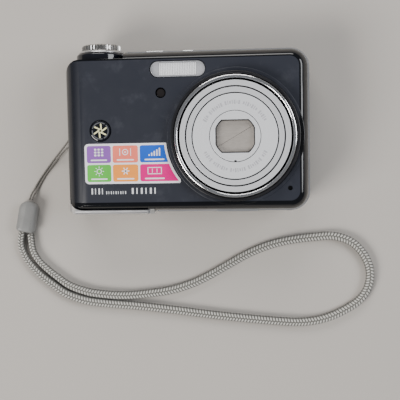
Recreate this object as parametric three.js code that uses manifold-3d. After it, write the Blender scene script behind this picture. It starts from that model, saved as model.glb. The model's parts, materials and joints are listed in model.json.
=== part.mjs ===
// A compact digital camera that runs on two AA cells, lying on its back, with its wrist strap.
// Millimetres. X runs along the long side, Y towards the top plate and Z out of the lens.
// The housing is drawn about its own middle, and the whole camera is then moved so that its
// origin is at the middle of the footprint, on the surface that it lies on.

import * as THREE from 'three';
import { mergeVertices } from 'three/addons/utils/BufferGeometryUtils.js';
import Module from 'manifold-3d';

const wasm = await Module();
wasm.setup();

// ---------------------------------------------------------------- driving dimensions

// Clearances
const GAP = 0.3; // between fixed neighbours
const SLIDE_GAP = 0.45; // between the outer tube and its barrel
const SKIN_GAP = 0.03; // under a label that lies on a surface

// Housing
const BODY_WIDTH = 95;
const BODY_HEIGHT = 62.5;
const BODY_CORNER = 7.5;
const REAR_COVER_TOP_Z = 8.4;
const BAND_TOP_Z = 13.9;
const WALL = 1.6;
const REAR_ROOM = 1.6; // between the rear wall and the cells' chamber, for the buttons
const COVER_STEP = 0.75; // the covers stand in from the bright band
const EDGE_BEVEL_WIDTH = 3.4;
const EDGE_BEVEL_DEPTH = 4.1;
const ROLL_WIDTH = 9.5; // the grip side rolls off towards the back
const ROLL_DEPTH = 8.6;
const REAR_ROUND = 2.4;
const DECK_DROP = 3.3; // the top is lower under the mode dial

// Lens, measured from the front face and from its own axis
const LENS_FROM_RIGHT = 28.3;
const LENS_BELOW_MIDDLE = 2.3;
const NAME_RING_RADIUS = 15.95; // the rings outside it follow from this one
const NAME_RING_GAP = 0.45;
const STAGE_2_LIP = 1.95;
const STAGE_1_LIP = 2.25;
const STAGE_GAP = 0.55;
const RING_WALL = 1.3;
const RING_RISE = 4;
const RING_DEPTH = 2.4;
const RING_ROUND = 0.4;
const COLLAR_WALL = 1.1;
const COLLAR_RISE = 3.5;
const COLLAR_FLANGE = 0.7;
const FLANGE_SINK = 3.7; // the collar's flange, below the front face
const FLANGE_THICKNESS = 1.3;
const BOSS_MARGIN = 1.6;
const BOSS_RISE = 0.4;
const BARREL_WALL = 1.5;
const STAGE_WALL = 1.1;
const STAGE_FLANGE = 1.2;
const LIP_DEPTH = 1.4;
const LENS_RISE = 3.6; // faces of the stages above the front face
const WINDOW_PLATE_RADIUS = 9.5;
const WINDOW_WIDTH = 14.9;
const WINDOW_HEIGHT = 12.5;
const BLADE_RADIUS = 8.1;
const BLADE_THICKNESS = 0.6;
const BLADE_LUG_RADIUS = 1.7;
const BLADE_LUG_DROP = 1.5; // the pins stand this far to one side of the seam
const BLADE_LUG_GAP = 0.85;
const BLADE_SEAM_GAP = 0.05;
const BLADE_SEAM_ANGLE = 30;
const BLADE_PIN_RADIUS = 0.6;
const BARRIER_DEPTH = 1.4; // the room for the blades
const LENS_CELL_DEPTH = 3.8; // the barrier base's collar, which holds the front lens
const FRONT_LENS_RADIUS = 6.2;
const ZOOM_LENS_RADIUS = 9;
const FOCUS_LENS_RADIUS = 7.4;
const ZOOM_GROUP_RISE = 5;
const LENS_BASE_RISE = 0.6; // above the board
const LENS_BASE_THICKNESS = 1.8;
const SENSOR_POCKET_RADIUS = 8.2;
const SENSOR_SIZE = [11, 9.2, 0.8];
const FILTER_SIZE = [9.2, 7.6, 0.5];

// Power
const CELL_DIAMETER = 14.5;
const CELL_LENGTH = 50.5;
const CELL_SPACING = 0.6;
const CELL_GAP = 0.2;
const CELL_TIP = [2.6, 1.4]; // radius and height
const CHAMBER_WALL = 0.75;
const CHAMBER_SIDE = 1;
const CHAMBER_OPEN = 2; // the chamber's walls stop short of the cells' front
const SPRING_REACH = 5;

// Battery door
const HINGE_FROM_CELL = 1.25;
const HINGE_FROM_CARD = 0.2;
const DOOR_PROUD = 0.4;
const DOOR_THICKNESS = 1.6;
const DOOR_CORNER = 4;
const DOOR_BOTTOM_Z = 3.4;
const DOOR_SINK = 1.8; // below the front face
const DOOR_EDGE = [1.5, 2.4]; // width and depth of its rounded front edge
const DOOR_BACK_EDGE = 0.8;
const DOOR_BACK_DEPTH = 4;
const DOORWAY_STOP = 0.75; // the doorway ends this far before the flat of the cover's inside
const HINGE_PIN_RADIUS = 0.38;
const HINGE_BORE_GAP = 0.12;
const EAR_DEPTH = 2;
const EAR_WIDTH = 1.7;
const CARRIAGE_THICKNESS = 0.8;
const CARRIAGE_LENGTH = 8.4;
const CONTACT_LAP = 0.15; // over the end of the door's inner corner

// Controls
const DIAL_RADIUS = 7.7;
const DIAL_HEIGHT = 2.2;
const DIAL_TEETH = 26;
const DIAL_FROM_LEFT = 13.9;
const DIAL_TOOTH = 0.35;
const DIAL_EDGE = [1.1, 0.5];
const POD_EDGE = 0.9;
const POD_SINK = 1.7; // the pod's side, below the front face
const CAP_EDGE = 0.9;
const TOP_BUTTON_RISE = 0.35;
const BUTTON_TRAVEL = 0.35;
const SHUTTER_SIZE = [9.5, 3.8];
const POWER_SIZE = [6, 2.8];
const PAD_RADIUS = 8.4;
const OK_RADIUS = 3.1;
const SMALL_BUTTON_RADIUS = 2.6;
const BUTTON_DEPTH = 1.8;
const PAD_DEPTH = 1.5;
const PAD_TILT_GAP = 0.3; // the pad rocks above its gimbal ring
const GIMBAL_RADIUS = 6;
const GIMBAL_DEPTH = 0.4;
const ROCKER_LENGTH = 14;
const ROCKER_WIDTH = 5;
const ROCKER_SINK = 0.8;
const ROCKER_DEPTH = 1.4;
const BUTTON_FLANGE = 1;
const SHAFT_RADIUS = 1.2;

// Front details
const FLASH_WIDTH = 21.1;
const FLASH_HEIGHT = 6.1;
const FLASH_FROM_TOP = 7.7;
const FLASH_FROM_LENS = 21.6;
const REFLECTOR_WIDTH = 14.2;
const REFLECTOR_HEIGHT = 4.9;
const REFLECTOR_DEPTH = 4.3;
const REFLECTOR_END = 0.5;
const TROUGH_DEPTH = 3.6;
const FLASH_SINK = 0.05;
const FLASH_WINDOW_DEPTH = 0.9;
const FLASH_TUBE_RADIUS = 0.7;
const FLASH_TUBE_DEPTH = 2.7;
const AF_LAMP_RADIUS = 1.7;
const AF_LAMP_DEPTH = 1;
const AF_LAMP_SINK = 0.4;
const EMBLEM_RADIUS = 3.95;
const LABEL_WIDTH = 37;
const LABEL_HEIGHT = 15.4;
const LABEL_THICKNESS = 0.12;
const LABEL_LEAN = [3.4, 9, 5.3]; // how its right edge bows, and how far the top is short
const EMBLEM_SINK = 0.7;
const EMBLEM_RISE = 0.35;
const MIC_HOLE_RADIUS = 0.9;
const MIC_RADIUS = 1.7;
const MIC_LENGTH = 2.1;
const CAPACITOR_RADIUS = 4.2;
const CAPACITOR_LENGTH = 16;

// Display and board
const LCD_WIDTH = 54;
const LCD_HEIGHT = 41;
const LCD_FROM_RIGHT = 4.6;
const LCD_THICKNESS = 1.5;
const BOARD_THICKNESS = 0.8;
const BOARD_MARGIN = 3.6;
const WINDOW_MARGIN = 1.5;
const WINDOW_DEPTH = 1.1;
const WINDOW_THICKNESS = 0.8;
const SPEAKER_RADIUS = 3;
const SPEAKER_SLOT = [4, 0.7];
const SPEAKER_SLOT_PITCH = 1.6;

// Sockets, bush and small fasteners
const TERMINAL_LENGTH = 9.6;
const TERMINAL_THICKNESS = 1.3;
const TERMINAL_SINK = 0.15;
const TERMINAL_MARGIN = 0.5;
const SOCKET_SIZE = [6, 7.8, 3.8];
const SOCKET_WALL = 0.4;
const BUSH_RADIUS = 4.2;
const BUSH_BORE = 2.6;
const BUSH_END = 1.2;
const BUSH_PLATE_WIDTH = 16;
const BUSH_PLATE_DEPTH = 12;
const FOOT_RADIUS = 1.2;
const FOOT_PROUD = 0.25;
const SCREW_RADIUS = 1.1;
const SCREW_LENGTH = 3;
const SCREW_SINK = 0.2;

// Memory card, to the standard size
const CARD_WIDTH = 24;
const CARD_LENGTH = 32;
const CARD_THICKNESS = 2.1;
const CARD_CORNER = 4;
const CARD_GAP = 0.35;

// Wrist strap. Points of the routes are on the surface that the camera lies on.
const CORD_DIAMETER = 0.8;
const BRAID_WIDTH = 3.4;
const BRAID_HEIGHT = 2.8;
const POST_RADIUS = 1.5;
const POST_HALF_LENGTH = [1.2, 1.6]; // below and above the cord
const POST_FROM_WALL = 0.5;
const FERRULE_WIDTH = 8;
const FERRULE_LENGTH = 13;
const FERRULE_HEIGHT = 5.4;
const FERRULE_TILT = -11.3;
const FERRULE_CHAMFER = 1.5;
const FERRULE_DOME = [0.9, 3.4]; // half the flat of the domed end, and how far the dome comes down

// ---------------------------------------------------------------- worked out from them

const FAR = 200; // past every piece
const CELL_Z = WALL + REAR_ROOM + CHAMBER_WALL + CELL_GAP + CELL_DIAMETER / 2;
const CARD_Z = CELL_Z + CELL_DIAMETER / 2 + CARD_GAP;
const FRONT_FACE_Z = CARD_Z + CARD_THICKNESS + GAP + WALL;
const RIGHT = BODY_WIDTH / 2;
const LEFT = -RIGHT;
const TOP = BODY_HEIGHT / 2;
const BOTTOM = -TOP;
const DECK_Y = TOP - DECK_DROP;
const DIAL_X = LEFT + DIAL_FROM_LEFT;
const DIAL_Z = FRONT_FACE_Z / 2;
const POD_RADIUS = DIAL_Z - POD_SINK;
const DECK_RIGHT = DIAL_X + POD_RADIUS + 2 * GAP;
const COVER = {
  left: LEFT + GAP, right: RIGHT - COVER_STEP,
  bottom: BOTTOM + COVER_STEP, top: TOP - COVER_STEP, corner: BODY_CORNER - COVER_STEP,
};
const BAND = { left: LEFT, right: RIGHT, bottom: BOTTOM, top: TOP, corner: BODY_CORNER };
const BAND_WALL = WALL - 0.2;

const LENS_X = RIGHT - LENS_FROM_RIGHT;
const LENS_Y = -LENS_BELOW_MIDDLE;
const LENS_FACE_Z = FRONT_FACE_Z + LENS_RISE;
const STAGE_2_RADIUS = NAME_RING_RADIUS + NAME_RING_GAP + STAGE_2_LIP;
const STAGE_1_RADIUS = STAGE_2_RADIUS + STAGE_GAP + STAGE_1_LIP;
const RING_RADIUS = STAGE_1_RADIUS + STAGE_GAP + RING_WALL;
const COLLAR_RADIUS = RING_RADIUS + GAP + COLLAR_WALL;
const BOSS_RADIUS = COLLAR_RADIUS + BOSS_MARGIN;
const FLANGE_RADIUS = COLLAR_RADIUS + COLLAR_FLANGE;
const FLANGE_TOP = FRONT_FACE_Z - FLANGE_SINK;
const FLANGE_BOTTOM = FLANGE_TOP - FLANGE_THICKNESS;
const RING_TOP = FRONT_FACE_Z + RING_RISE;
const BARREL_BORE = STAGE_1_RADIUS + SLIDE_GAP;
const BARREL_RADIUS = BARREL_BORE + BARREL_WALL;
const FLANGE_REACH = STAGE_FLANGE - 0.2;
const NAME_RING_Z = LENS_FACE_Z - LIP_DEPTH;
const BASE_TOP = NAME_RING_Z - BARRIER_DEPTH;
const BLADE_PIVOT_RADIUS = NAME_RING_RADIUS - STAGE_WALL - BLADE_LUG_RADIUS - BLADE_LUG_GAP;
const LCD_Z = WALL + GAP;
const BOARD_Z = LCD_Z + LCD_THICKNESS + GAP;
const LENS_BASE_Z = BOARD_Z + BOARD_THICKNESS + LENS_BASE_RISE;
const LENS_BASE_TOP = LENS_BASE_Z + LENS_BASE_THICKNESS;
const SENSOR_Z = BOARD_Z + BOARD_THICKNESS + 0.2;
const STAGE_1_Z = LENS_BASE_TOP + GAP;
const STAGE_2_Z = STAGE_1_Z + 1.8;
const STAGE_3_Z = STAGE_2_Z + 0.6;
const ZOOM_GROUP_Z = LENS_BASE_TOP + ZOOM_GROUP_RISE;
const WINDOW_RADIUS = WINDOW_WIDTH / 2 + 0.6;

const CHAMBER_LEFT = COVER.left + WALL + GAP;
const FIRST_CELL_X = CHAMBER_LEFT + CHAMBER_WALL + CELL_GAP + CELL_DIAMETER / 2;
const CELL_X = [FIRST_CELL_X, FIRST_CELL_X + CELL_DIAMETER + CELL_SPACING];
const DOOR_LEFT = LEFT + 0.1;
const DOOR_TOP_Z = FRONT_FACE_Z - DOOR_SINK;
const CARD_X = COVER.left + ROLL_WIDTH;
// The door passes both the cells and the card.
const HINGE_X = Math.max(
  CELL_X[1] + CELL_DIAMETER / 2 + HINGE_FROM_CELL, CARD_X + CARD_WIDTH + HINGE_FROM_CARD);
const DOOR_RIGHT = HINGE_X + 0.8;
const DOOR_BOTTOM = BOTTOM - DOOR_PROUD;
const DOOR_INNER = DOOR_BOTTOM + DOOR_THICKNESS;
const DOOR_WRAP_TOP = DOOR_BOTTOM + DOOR_CORNER + 1.1;
const HINGE_Y = DOOR_BOTTOM + DOOR_THICKNESS / 2;
const CARRIAGE_INNER = DOOR_INNER + 1.1;
const CELL_BOTTOM = CARRIAGE_INNER + 0.7;
const CELL_TOP = CELL_BOTTOM + CELL_LENGTH;
const CARD_Y = CELL_BOTTOM + GAP;

const POD_BOTTOM = DECK_Y + GAP;
const SHAFT_BOTTOM = DECK_Y - WALL - 0.9;
const POD_TOP = TOP - 0.45;
const CAP_TOP = TOP + 0.75;
const DIAL_BOTTOM = CAP_TOP + 0.15;
const DIAL_TOP = DIAL_BOTTOM + DIAL_HEIGHT;
const TOP_BUTTON_Z = (REAR_COVER_TOP_Z + GAP + BAND_TOP_Z) / 2;
const SHUTTER = { x: DECK_RIGHT + 11, length: SHUTTER_SIZE[0], width: SHUTTER_SIZE[1] };
const POWER = { x: DECK_RIGHT + 24, length: POWER_SIZE[0], width: POWER_SIZE[1] };
const BUTTON_Z = 0.35;
const PAD_X = LEFT + 18.5;
const PAD_Y = -5;
const ROCKER_X = PAD_X;
const ROCKER_Y = TOP - 11;
const SMALL_BUTTONS = [[PAD_X - 8, 9.5], [PAD_X + 4, 9.5]];

const FLASH_X = LENS_X - FLASH_FROM_LENS;
const FLASH_Y = TOP - FLASH_FROM_TOP;
const AF_X = LENS_X - 28.2;
const AF_Y = FLASH_Y - 8.9;
const MIC_X = RIGHT - 7.9;
const MIC_Y = BOTTOM + 9.1;
const EMBLEM_X = LEFT + 15;
const EMBLEM_Y = 0.7;
const LABEL_X = LEFT + 8.6;
const LABEL_Y = BOTTOM + 11.6;
const CAPACITOR_X = CELL_X[1] + CELL_DIAMETER / 2 + 6.2;
const CAPACITOR_Y = 8;
const CAPACITOR_Z = REAR_COVER_TOP_Z + 1.6;

const LCD_RIGHT = RIGHT - LCD_FROM_RIGHT;
const LCD_LEFT = LCD_RIGHT - LCD_WIDTH;
const LCD_Y = -1.5;
const BOARD_LEFT = LCD_LEFT - 1;
const SPEAKER_X = LCD_LEFT + 8;
const SPEAKER_Y = LCD_Y + LCD_HEIGHT / 2 + WINDOW_MARGIN + SPEAKER_RADIUS + 2 * GAP;
const TERMINAL_X = RIGHT - TERMINAL_SINK - TERMINAL_THICKNESS / 2;
const TERMINAL_Y = TOP - 17.7;
const TERMINAL_Z0 = REAR_COVER_TOP_Z + GAP + TERMINAL_MARGIN;
const TERMINAL_Z1 = BAND_TOP_Z - TERMINAL_MARGIN;
const BUSH_Z = (REAR_COVER_TOP_Z + BAND_TOP_Z) / 2;
const BUSH_TOP = LENS_Y - BARREL_RADIUS - 0.1;
const FOOT_X = LENS_X + 20.2;
const SCREW_X = LENS_X - 26;

const EYELET_Y = -2;
const EYELET_Z = 4.1;
const POST_X = COVER.left + WALL + POST_FROM_WALL + POST_RADIUS;
const POST_TOP = EYELET_Z + POST_HALF_LENGTH[1];
const EYELET_HALF = POST_RADIUS + 2 * CORD_DIAMETER + GAP;

// Colours and finishes
const FINISH = {
  navyGloss: finish(0x10131f, 0.25, 0.1),
  blackSatin: finish(0x0c0d10, 0.45, 0),
  brightSilver: finish(0xc4c6c8, 0.25, 0.9),
  lensSilver: finish(0xd8dade, 0.35, 0.85),
  chrome: finish(0xe2e3e4, 0.12, 1),
  steel: finish(0xa4a6a8, 0.35, 0.9),
  blade: finish(0xcfc6be, 0.4, 0.6),
  clear: finish(0xeef2f5, 0.05, 0, { transparent: true, opacity: 0.4 }),
  darkGlass: finish(0x07090c, 0.08, 0),
  mirror: finish(0xf0f0ee, 0.1, 1),
  amber: finish(0x3a2c26, 0.2, 0),
  rubber: finish(0x1b1c1e, 0.8, 0),
  board: finish(0x1d4a2c, 0.5, 0),
  cellJacket: finish(0x3b3f46, 0.4, 0.2),
  label: finish(0xf1eef0, 0.35, 0),
  cordGrey: finish(0x6e6d69, 0.85, 0),
  ferruleGrey: finish(0x8b8b8a, 0.5, 0),
};

function finish(color, roughness, metalness, extra = {}) {
  return () => new THREE.MeshStandardMaterial({ color, roughness, metalness, ...extra });
}

// ---------------------------------------------------------------- solids

// A closed three.js geometry as a solid, turned the right way out.
function solid(geometry) {
  const bare = geometry.index ? geometry.toNonIndexed() : geometry.clone();
  bare.deleteAttribute('normal');
  bare.deleteAttribute('uv');
  const merged = mergeVertices(bare, 1e-4);
  const points = merged.attributes.position.array;
  const triangles = keepFullTriangles(merged.index.array);
  const outward = signedVolume(points, triangles) > 0 ? triangles : flipped(triangles);
  return new wasm.Manifold(new wasm.Mesh({
    numProp: 3,
    vertProperties: new Float32Array(points),
    triVerts: new Uint32Array(outward),
  }));
}

function keepFullTriangles(index) {
  const kept = [];
  for (let i = 0; i < index.length; i += 3) {
    const [a, b, c] = [index[i], index[i + 1], index[i + 2]];
    if (a !== b && b !== c && c !== a) kept.push(a, b, c);
  }
  return kept;
}

function flipped(triangles) {
  const turned = triangles.slice();
  for (let i = 0; i < turned.length; i += 3) {
    turned[i] = triangles[i + 1];
    turned[i + 1] = triangles[i];
  }
  return turned;
}

function signedVolume(points, triangles) {
  const [a, b, c] = [new THREE.Vector3(), new THREE.Vector3(), new THREE.Vector3()];
  let volume = 0;
  for (let i = 0; i < triangles.length; i += 3) {
    a.fromArray(points, 3 * triangles[i]);
    b.fromArray(points, 3 * triangles[i + 1]);
    c.fromArray(points, 3 * triangles[i + 2]);
    volume += a.dot(b.cross(c)) / 6;
  }
  return volume;
}

function geometryOf(body) {
  const { vertProperties, triVerts } = body.getMesh();
  const geometry = new THREE.BufferGeometry();
  geometry.setAttribute('position', new THREE.BufferAttribute(vertProperties, 3));
  geometry.setIndex(new THREE.BufferAttribute(triVerts, 1));
  geometry.computeVertexNormals();
  return geometry;
}

function block(x0, x1, y0, y1, z0, z1) {
  const box = new THREE.BoxGeometry(x1 - x0, y1 - y0, z1 - z0);
  return solid(box.translate((x0 + x1) / 2, (y0 + y1) / 2, (z0 + z1) / 2));
}

function prism(shape, z0, z1, curveSegments = 4) {
  const geometry = new THREE.ExtrudeGeometry(shape, {
    depth: z1 - z0, bevelEnabled: false, curveSegments,
  });
  return solid(geometry.translate(0, 0, z0));
}

// An outline drawn in X and Z, drawn out along Y.
function prismAlongY(shape, y0, y1, curveSegments = 4) {
  const geometry = new THREE.ExtrudeGeometry(shape, {
    depth: y1 - y0, bevelEnabled: false, curveSegments,
  });
  return solid(geometry.rotateX(Math.PI / 2).translate(0, y1, 0));
}

function disc(x, y, radius, z0, z1, segments = 20) {
  const geometry = new THREE.CylinderGeometry(radius, radius, z1 - z0, segments);
  return solid(geometry.rotateX(Math.PI / 2).translate(x, y, (z0 + z1) / 2));
}

function discAlongY(x, z, radius, y0, y1, segments = 20) {
  const geometry = new THREE.CylinderGeometry(radius, radius, y1 - y0, segments);
  return solid(geometry.translate(x, (y0 + y1) / 2, z));
}

// A profile of radius and height, turned about an axis along Z.
function turned(x, y, profile, segments) {
  const points = profile.map(([radius, height]) => new THREE.Vector2(radius, height));
  points.push(points[0].clone());
  const geometry = new THREE.LatheGeometry(points, segments);
  return solid(geometry.rotateX(Math.PI / 2).translate(x, y, 0));
}

// A profile of radius and height, turned about an axis along Y.
function turnedAlongY(x, z, profile, segments) {
  const points = profile.map(([radius, height]) => new THREE.Vector2(radius, height));
  points.push(points[0].clone());
  return solid(new THREE.LatheGeometry(points, segments).translate(x, 0, z));
}

function ring(x, y, inner, outer, z0, z1, segments = 32) {
  return turned(x, y, [[inner, z0], [outer, z0], [outer, z1], [inner, z1]], segments);
}

function lensTurned(profile, segments = 32) {
  return turned(LENS_X, LENS_Y, profile, segments);
}

// ---------------------------------------------------------------- outlines

function roundedRectangle(x0, x1, y0, y1, corner) {
  const shape = new THREE.Shape();
  shape.moveTo(x0 + corner, y0);
  shape.lineTo(x1 - corner, y0);
  shape.absarc(x1 - corner, y0 + corner, corner, -Math.PI / 2, 0);
  shape.lineTo(x1, y1 - corner);
  shape.absarc(x1 - corner, y1 - corner, corner, 0, Math.PI / 2);
  shape.lineTo(x0 + corner, y1);
  shape.absarc(x0 + corner, y1 - corner, corner, Math.PI / 2, Math.PI);
  shape.lineTo(x0, y0 + corner);
  shape.absarc(x0 + corner, y0 + corner, corner, Math.PI, 1.5 * Math.PI);
  return shape;
}

function rectanglePrism(outline, inset, z0, z1) {
  const corner = Math.max(outline.corner - inset, GAP);
  const shape = roundedRectangle(
    outline.left + inset, outline.right - inset,
    outline.bottom + inset, outline.top - inset, corner);
  return prism(shape, z0, z1);
}

// What is taken off the top left corner, where the deck under the mode dial is lower.
function deckCut(outline, inset, z0, z1) {
  const corner = outline.corner - inset;
  const [right, top] = [DECK_RIGHT + inset, DECK_Y - inset];
  const kept = roundedRectangle(outline.left + inset - SKIN_GAP, FAR, -FAR, top, corner);
  return block(-FAR, right, top - corner, FAR, z0, z1).subtract(prism(kept, z0 - 1, z1 + 1, 4));
}

function housingPrism(outline, inset, z0, z1) {
  return rectanglePrism(outline, inset, z0, z1).subtract(deckCut(outline, inset, z0 - 1, z1 + 1));
}

// A rounded rectangle whose edges curve over towards its upper face.
function crownedBlock(outline, inset, zTop, zBottom, bevelWidth, bevelDepth) {
  const inner = roundedRectangle(
    outline.left + inset + bevelWidth, outline.right - inset - bevelWidth,
    outline.bottom + inset + bevelWidth, outline.top - inset - bevelWidth,
    Math.max(outline.corner - inset - bevelWidth, GAP));
  const depth = zTop - zBottom;
  const geometry = new THREE.ExtrudeGeometry(inner, {
    depth, steps: 1, curveSegments: 4,
    bevelEnabled: true, bevelThickness: bevelDepth, bevelSize: bevelWidth, bevelSegments: 3,
  });
  geometry.translate(0, 0, zBottom - bevelDepth);
  return solid(geometry).intersect(block(-FAR, FAR, -FAR, FAR, zBottom, zTop));
}

// The grip side, seen from below: a quarter of an ellipse from the front face to the side.
function rollPrism(inset) {
  const [width, depth] = [ROLL_WIDTH - inset, ROLL_DEPTH - inset];
  const [centreX, centreZ] = [COVER.left + ROLL_WIDTH, FRONT_FACE_Z - ROLL_DEPTH];
  const shape = new THREE.Shape();
  shape.moveTo(centreX - width, 0);
  shape.lineTo(FAR, 0);
  shape.lineTo(FAR, centreZ + depth);
  shape.lineTo(centreX, centreZ + depth);
  shape.absellipse(centreX, centreZ, width, depth, Math.PI / 2, Math.PI);
  return prismAlongY(shape, -FAR, FAR, 6);
}

function frontForm(inset, zBottom) {
  const top = FRONT_FACE_Z - inset;
  return crownedBlock(COVER, inset, top, zBottom, EDGE_BEVEL_WIDTH, EDGE_BEVEL_DEPTH)
    .intersect(rollPrism(inset))
    .subtract(deckCut(COVER, inset, zBottom - 1, FAR));
}

// The rear cover's edges curve over towards the surface that it lies on.
function rearForm(inset, zTop) {
  const depth = zTop - inset;
  const crowned = crownedBlock(COVER, inset, depth, 0, REAR_ROUND, REAR_ROUND);
  return crowned.mirror([0, 0, 1]).translate([0, 0, zTop])
    .subtract(deckCut(COVER, inset, -1, zTop + 1));
}

// The room inside the covers, less a clearance.
function interior(clearance) {
  const inset = WALL + clearance;
  return frontForm(inset, REAR_COVER_TOP_Z - 1).add(rearForm(inset, REAR_COVER_TOP_Z));
}

function slotShape(x, y, width, height) {
  return roundedRectangle(x - width / 2, x + width / 2, y - height / 2, y + height / 2,
    height / 2 - 0.001);
}

// ---------------------------------------------------------------- what is cut from the housing

// The door wraps round the bottom corner: its outline grown by a clearance.
function doorOutline(clearance) {
  const bottom = DOOR_BOTTOM - clearance;
  const left = DOOR_LEFT - clearance;
  const top = DOOR_WRAP_TOP + clearance;
  const shape = new THREE.Shape();
  shape.moveTo(HINGE_X, bottom);
  shape.absarc(HINGE_X, HINGE_Y, HINGE_Y - bottom, -Math.PI / 2, Math.PI / 2);
  shape.lineTo(HINGE_X, top);
  shape.lineTo(left, top);
  shape.lineTo(left, bottom + DOOR_CORNER);
  shape.absarc(left + DOOR_CORNER, bottom + DOOR_CORNER, DOOR_CORNER, Math.PI, 1.5 * Math.PI);
  return shape;
}

// What is left of the housing inside the door.
function insideDoor(inset, z0, z1) {
  const outline = {
    left: COVER.left - GAP, right: FAR, bottom: DOOR_INNER, top: FAR, corner: COVER.corner + GAP,
  };
  return rectanglePrism(outline, inset, z0, z1);
}

function doorwayCut() {
  const [z0, z1] = [DOOR_BOTTOM_Z - GAP, DOOR_TOP_Z + GAP];
  const wrap = prism(doorOutline(GAP), z0, z1).subtract(insideDoor(GAP, z0 - 1, z1 + 1));
  const mouth = block(
    CHAMBER_LEFT + 1, DOOR_RIGHT + GAP, BOTTOM - 2,
    COVER.bottom + WALL + EDGE_BEVEL_WIDTH - DOORWAY_STOP, z0, z1);
  return wrap.add(mouth);
}

function podCut() {
  return discAlongY(DIAL_X, DIAL_Z, POD_RADIUS + GAP, POD_BOTTOM - GAP, FAR, 28)
    .add(discAlongY(DIAL_X, DIAL_Z, SHAFT_RADIUS + GAP, SHAFT_BOTTOM, FAR, 12));
}

function bushCut() {
  return discAlongY(LENS_X, BUSH_Z, BUSH_RADIUS + GAP, BOTTOM - 1, BUSH_TOP, 24);
}

// The band widens into a plate around the tripod bush.
function bushPlate(clearance) {
  return block(LENS_X - BUSH_PLATE_WIDTH / 2 - clearance, LENS_X + BUSH_PLATE_WIDTH / 2 + clearance,
    BOTTOM, BOTTOM + BAND_WALL + clearance,
    BUSH_Z - BUSH_PLATE_DEPTH / 2 - clearance, BUSH_Z + BUSH_PLATE_DEPTH / 2 + clearance);
}

function eyeletCut() {
  return block(LEFT - 1, LEFT + WALL + 1, EYELET_Y - EYELET_HALF, EYELET_Y + EYELET_HALF,
    EYELET_Z - CORD_DIAMETER - GAP, EYELET_Z + CORD_DIAMETER + GAP);
}

// ---------------------------------------------------------------- housing

function frontCover() {
  const z0 = BAND_TOP_Z + GAP;
  const boss = disc(LENS_X, LENS_Y, BOSS_RADIUS, z0, FRONT_FACE_Z + BOSS_RISE, 40);
  return frontForm(0, z0).add(boss)
    .subtract(frontForm(WALL, z0 - 1))
    .subtract(disc(LENS_X, LENS_Y, FLANGE_RADIUS + GAP, z0 - 1, FLANGE_TOP + GAP, 32))
    .subtract(disc(LENS_X, LENS_Y, COLLAR_RADIUS + GAP, z0 - 1, FAR, 32))
    .subtract(prism(slotShape(FLASH_X, FLASH_Y, FLASH_WIDTH + GAP, FLASH_HEIGHT + GAP), z0, FAR))
    .subtract(disc(AF_X, AF_Y, AF_LAMP_RADIUS + GAP, z0, FAR, 16))
    .subtract(disc(MIC_X, MIC_Y, MIC_HOLE_RADIUS, z0, FAR, 12))
    .subtract(disc(EMBLEM_X, EMBLEM_Y, EMBLEM_RADIUS + GAP, FRONT_FACE_Z - EMBLEM_SINK, FAR, 24))
    .subtract(doorwayCut()).subtract(podCut()).subtract(bushCut()).subtract(bushPlate(GAP));
}

function centreBand() {
  const [z0, z1] = [REAR_COVER_TOP_Z + GAP, BAND_TOP_Z];
  return housingPrism(BAND, 0, z0, z1).subtract(housingPrism(BAND, BAND_WALL, z0 - 1, z1 + 1))
    .add(bushPlate(0))
    .subtract(doorwayCut()).subtract(podCut()).subtract(bushCut())
    .subtract(topButton(SHUTTER, GAP, 0))
    .subtract(topButton(POWER, GAP, 0))
    .subtract(discAlongY(FOOT_X, BUSH_Z, FOOT_RADIUS + GAP, BOTTOM - 1, BOTTOM + WALL, 12))
    .subtract(discAlongY(SCREW_X, BUSH_Z, SCREW_RADIUS + GAP, BOTTOM - 1, BOTTOM + WALL, 12))
    .subtract(terminalCut())
    .subtract(block(RIGHT - 3, RIGHT + 1, TERMINAL_Y + 1.6, TERMINAL_Y + TERMINAL_LENGTH - 1,
      TERMINAL_Z0 + 0.2, TERMINAL_Z1 - 0.2));
}

// The cover plate's seat, open at the hinge so that the plate can swing out.
function terminalCut() {
  const [z0, z1] = [TERMINAL_Z0 - GAP, TERMINAL_Z1 + GAP];
  const relief = TERMINAL_THICKNESS / 2 + GAP;
  return prism(terminalOutline(GAP), z0, z1)
    .add(block(TERMINAL_X, RIGHT + 1, TERMINAL_Y - relief, TERMINAL_Y + 1, z0, z1));
}

function rearCover() {
  let cover = rearForm(0, REAR_COVER_TOP_Z).subtract(rearForm(WALL, REAR_COVER_TOP_Z + 1))
    .subtract(lcdPrism(WINDOW_MARGIN + GAP, -1, WINDOW_DEPTH + 0.2))
    .subtract(lcdPrism(-1, -1, WALL + 1))
    .subtract(doorwayCut()).subtract(podCut()).subtract(bushCut()).subtract(bushPlate(GAP))
    .subtract(eyeletCut())
    .subtract(rockerPrism(GAP, -1, WALL + 1))
    .subtract(disc(PAD_X, PAD_Y, PAD_RADIUS + GAP, -1, WALL + 1, 24));
  for (const [x, y] of SMALL_BUTTONS) {
    cover = cover.subtract(disc(x, y, SMALL_BUTTON_RADIUS + GAP, -1, WALL + 1, 16));
  }
  for (const step of [-1, 0, 1]) {
    const y = SPEAKER_Y + step * SPEAKER_SLOT_PITCH;
    const [length, width] = SPEAKER_SLOT;
    cover = cover.subtract(block(SPEAKER_X - length / 2, SPEAKER_X + length / 2,
      y - width / 2, y + width / 2, -1, WALL + 1));
  }
  return cover;
}

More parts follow.
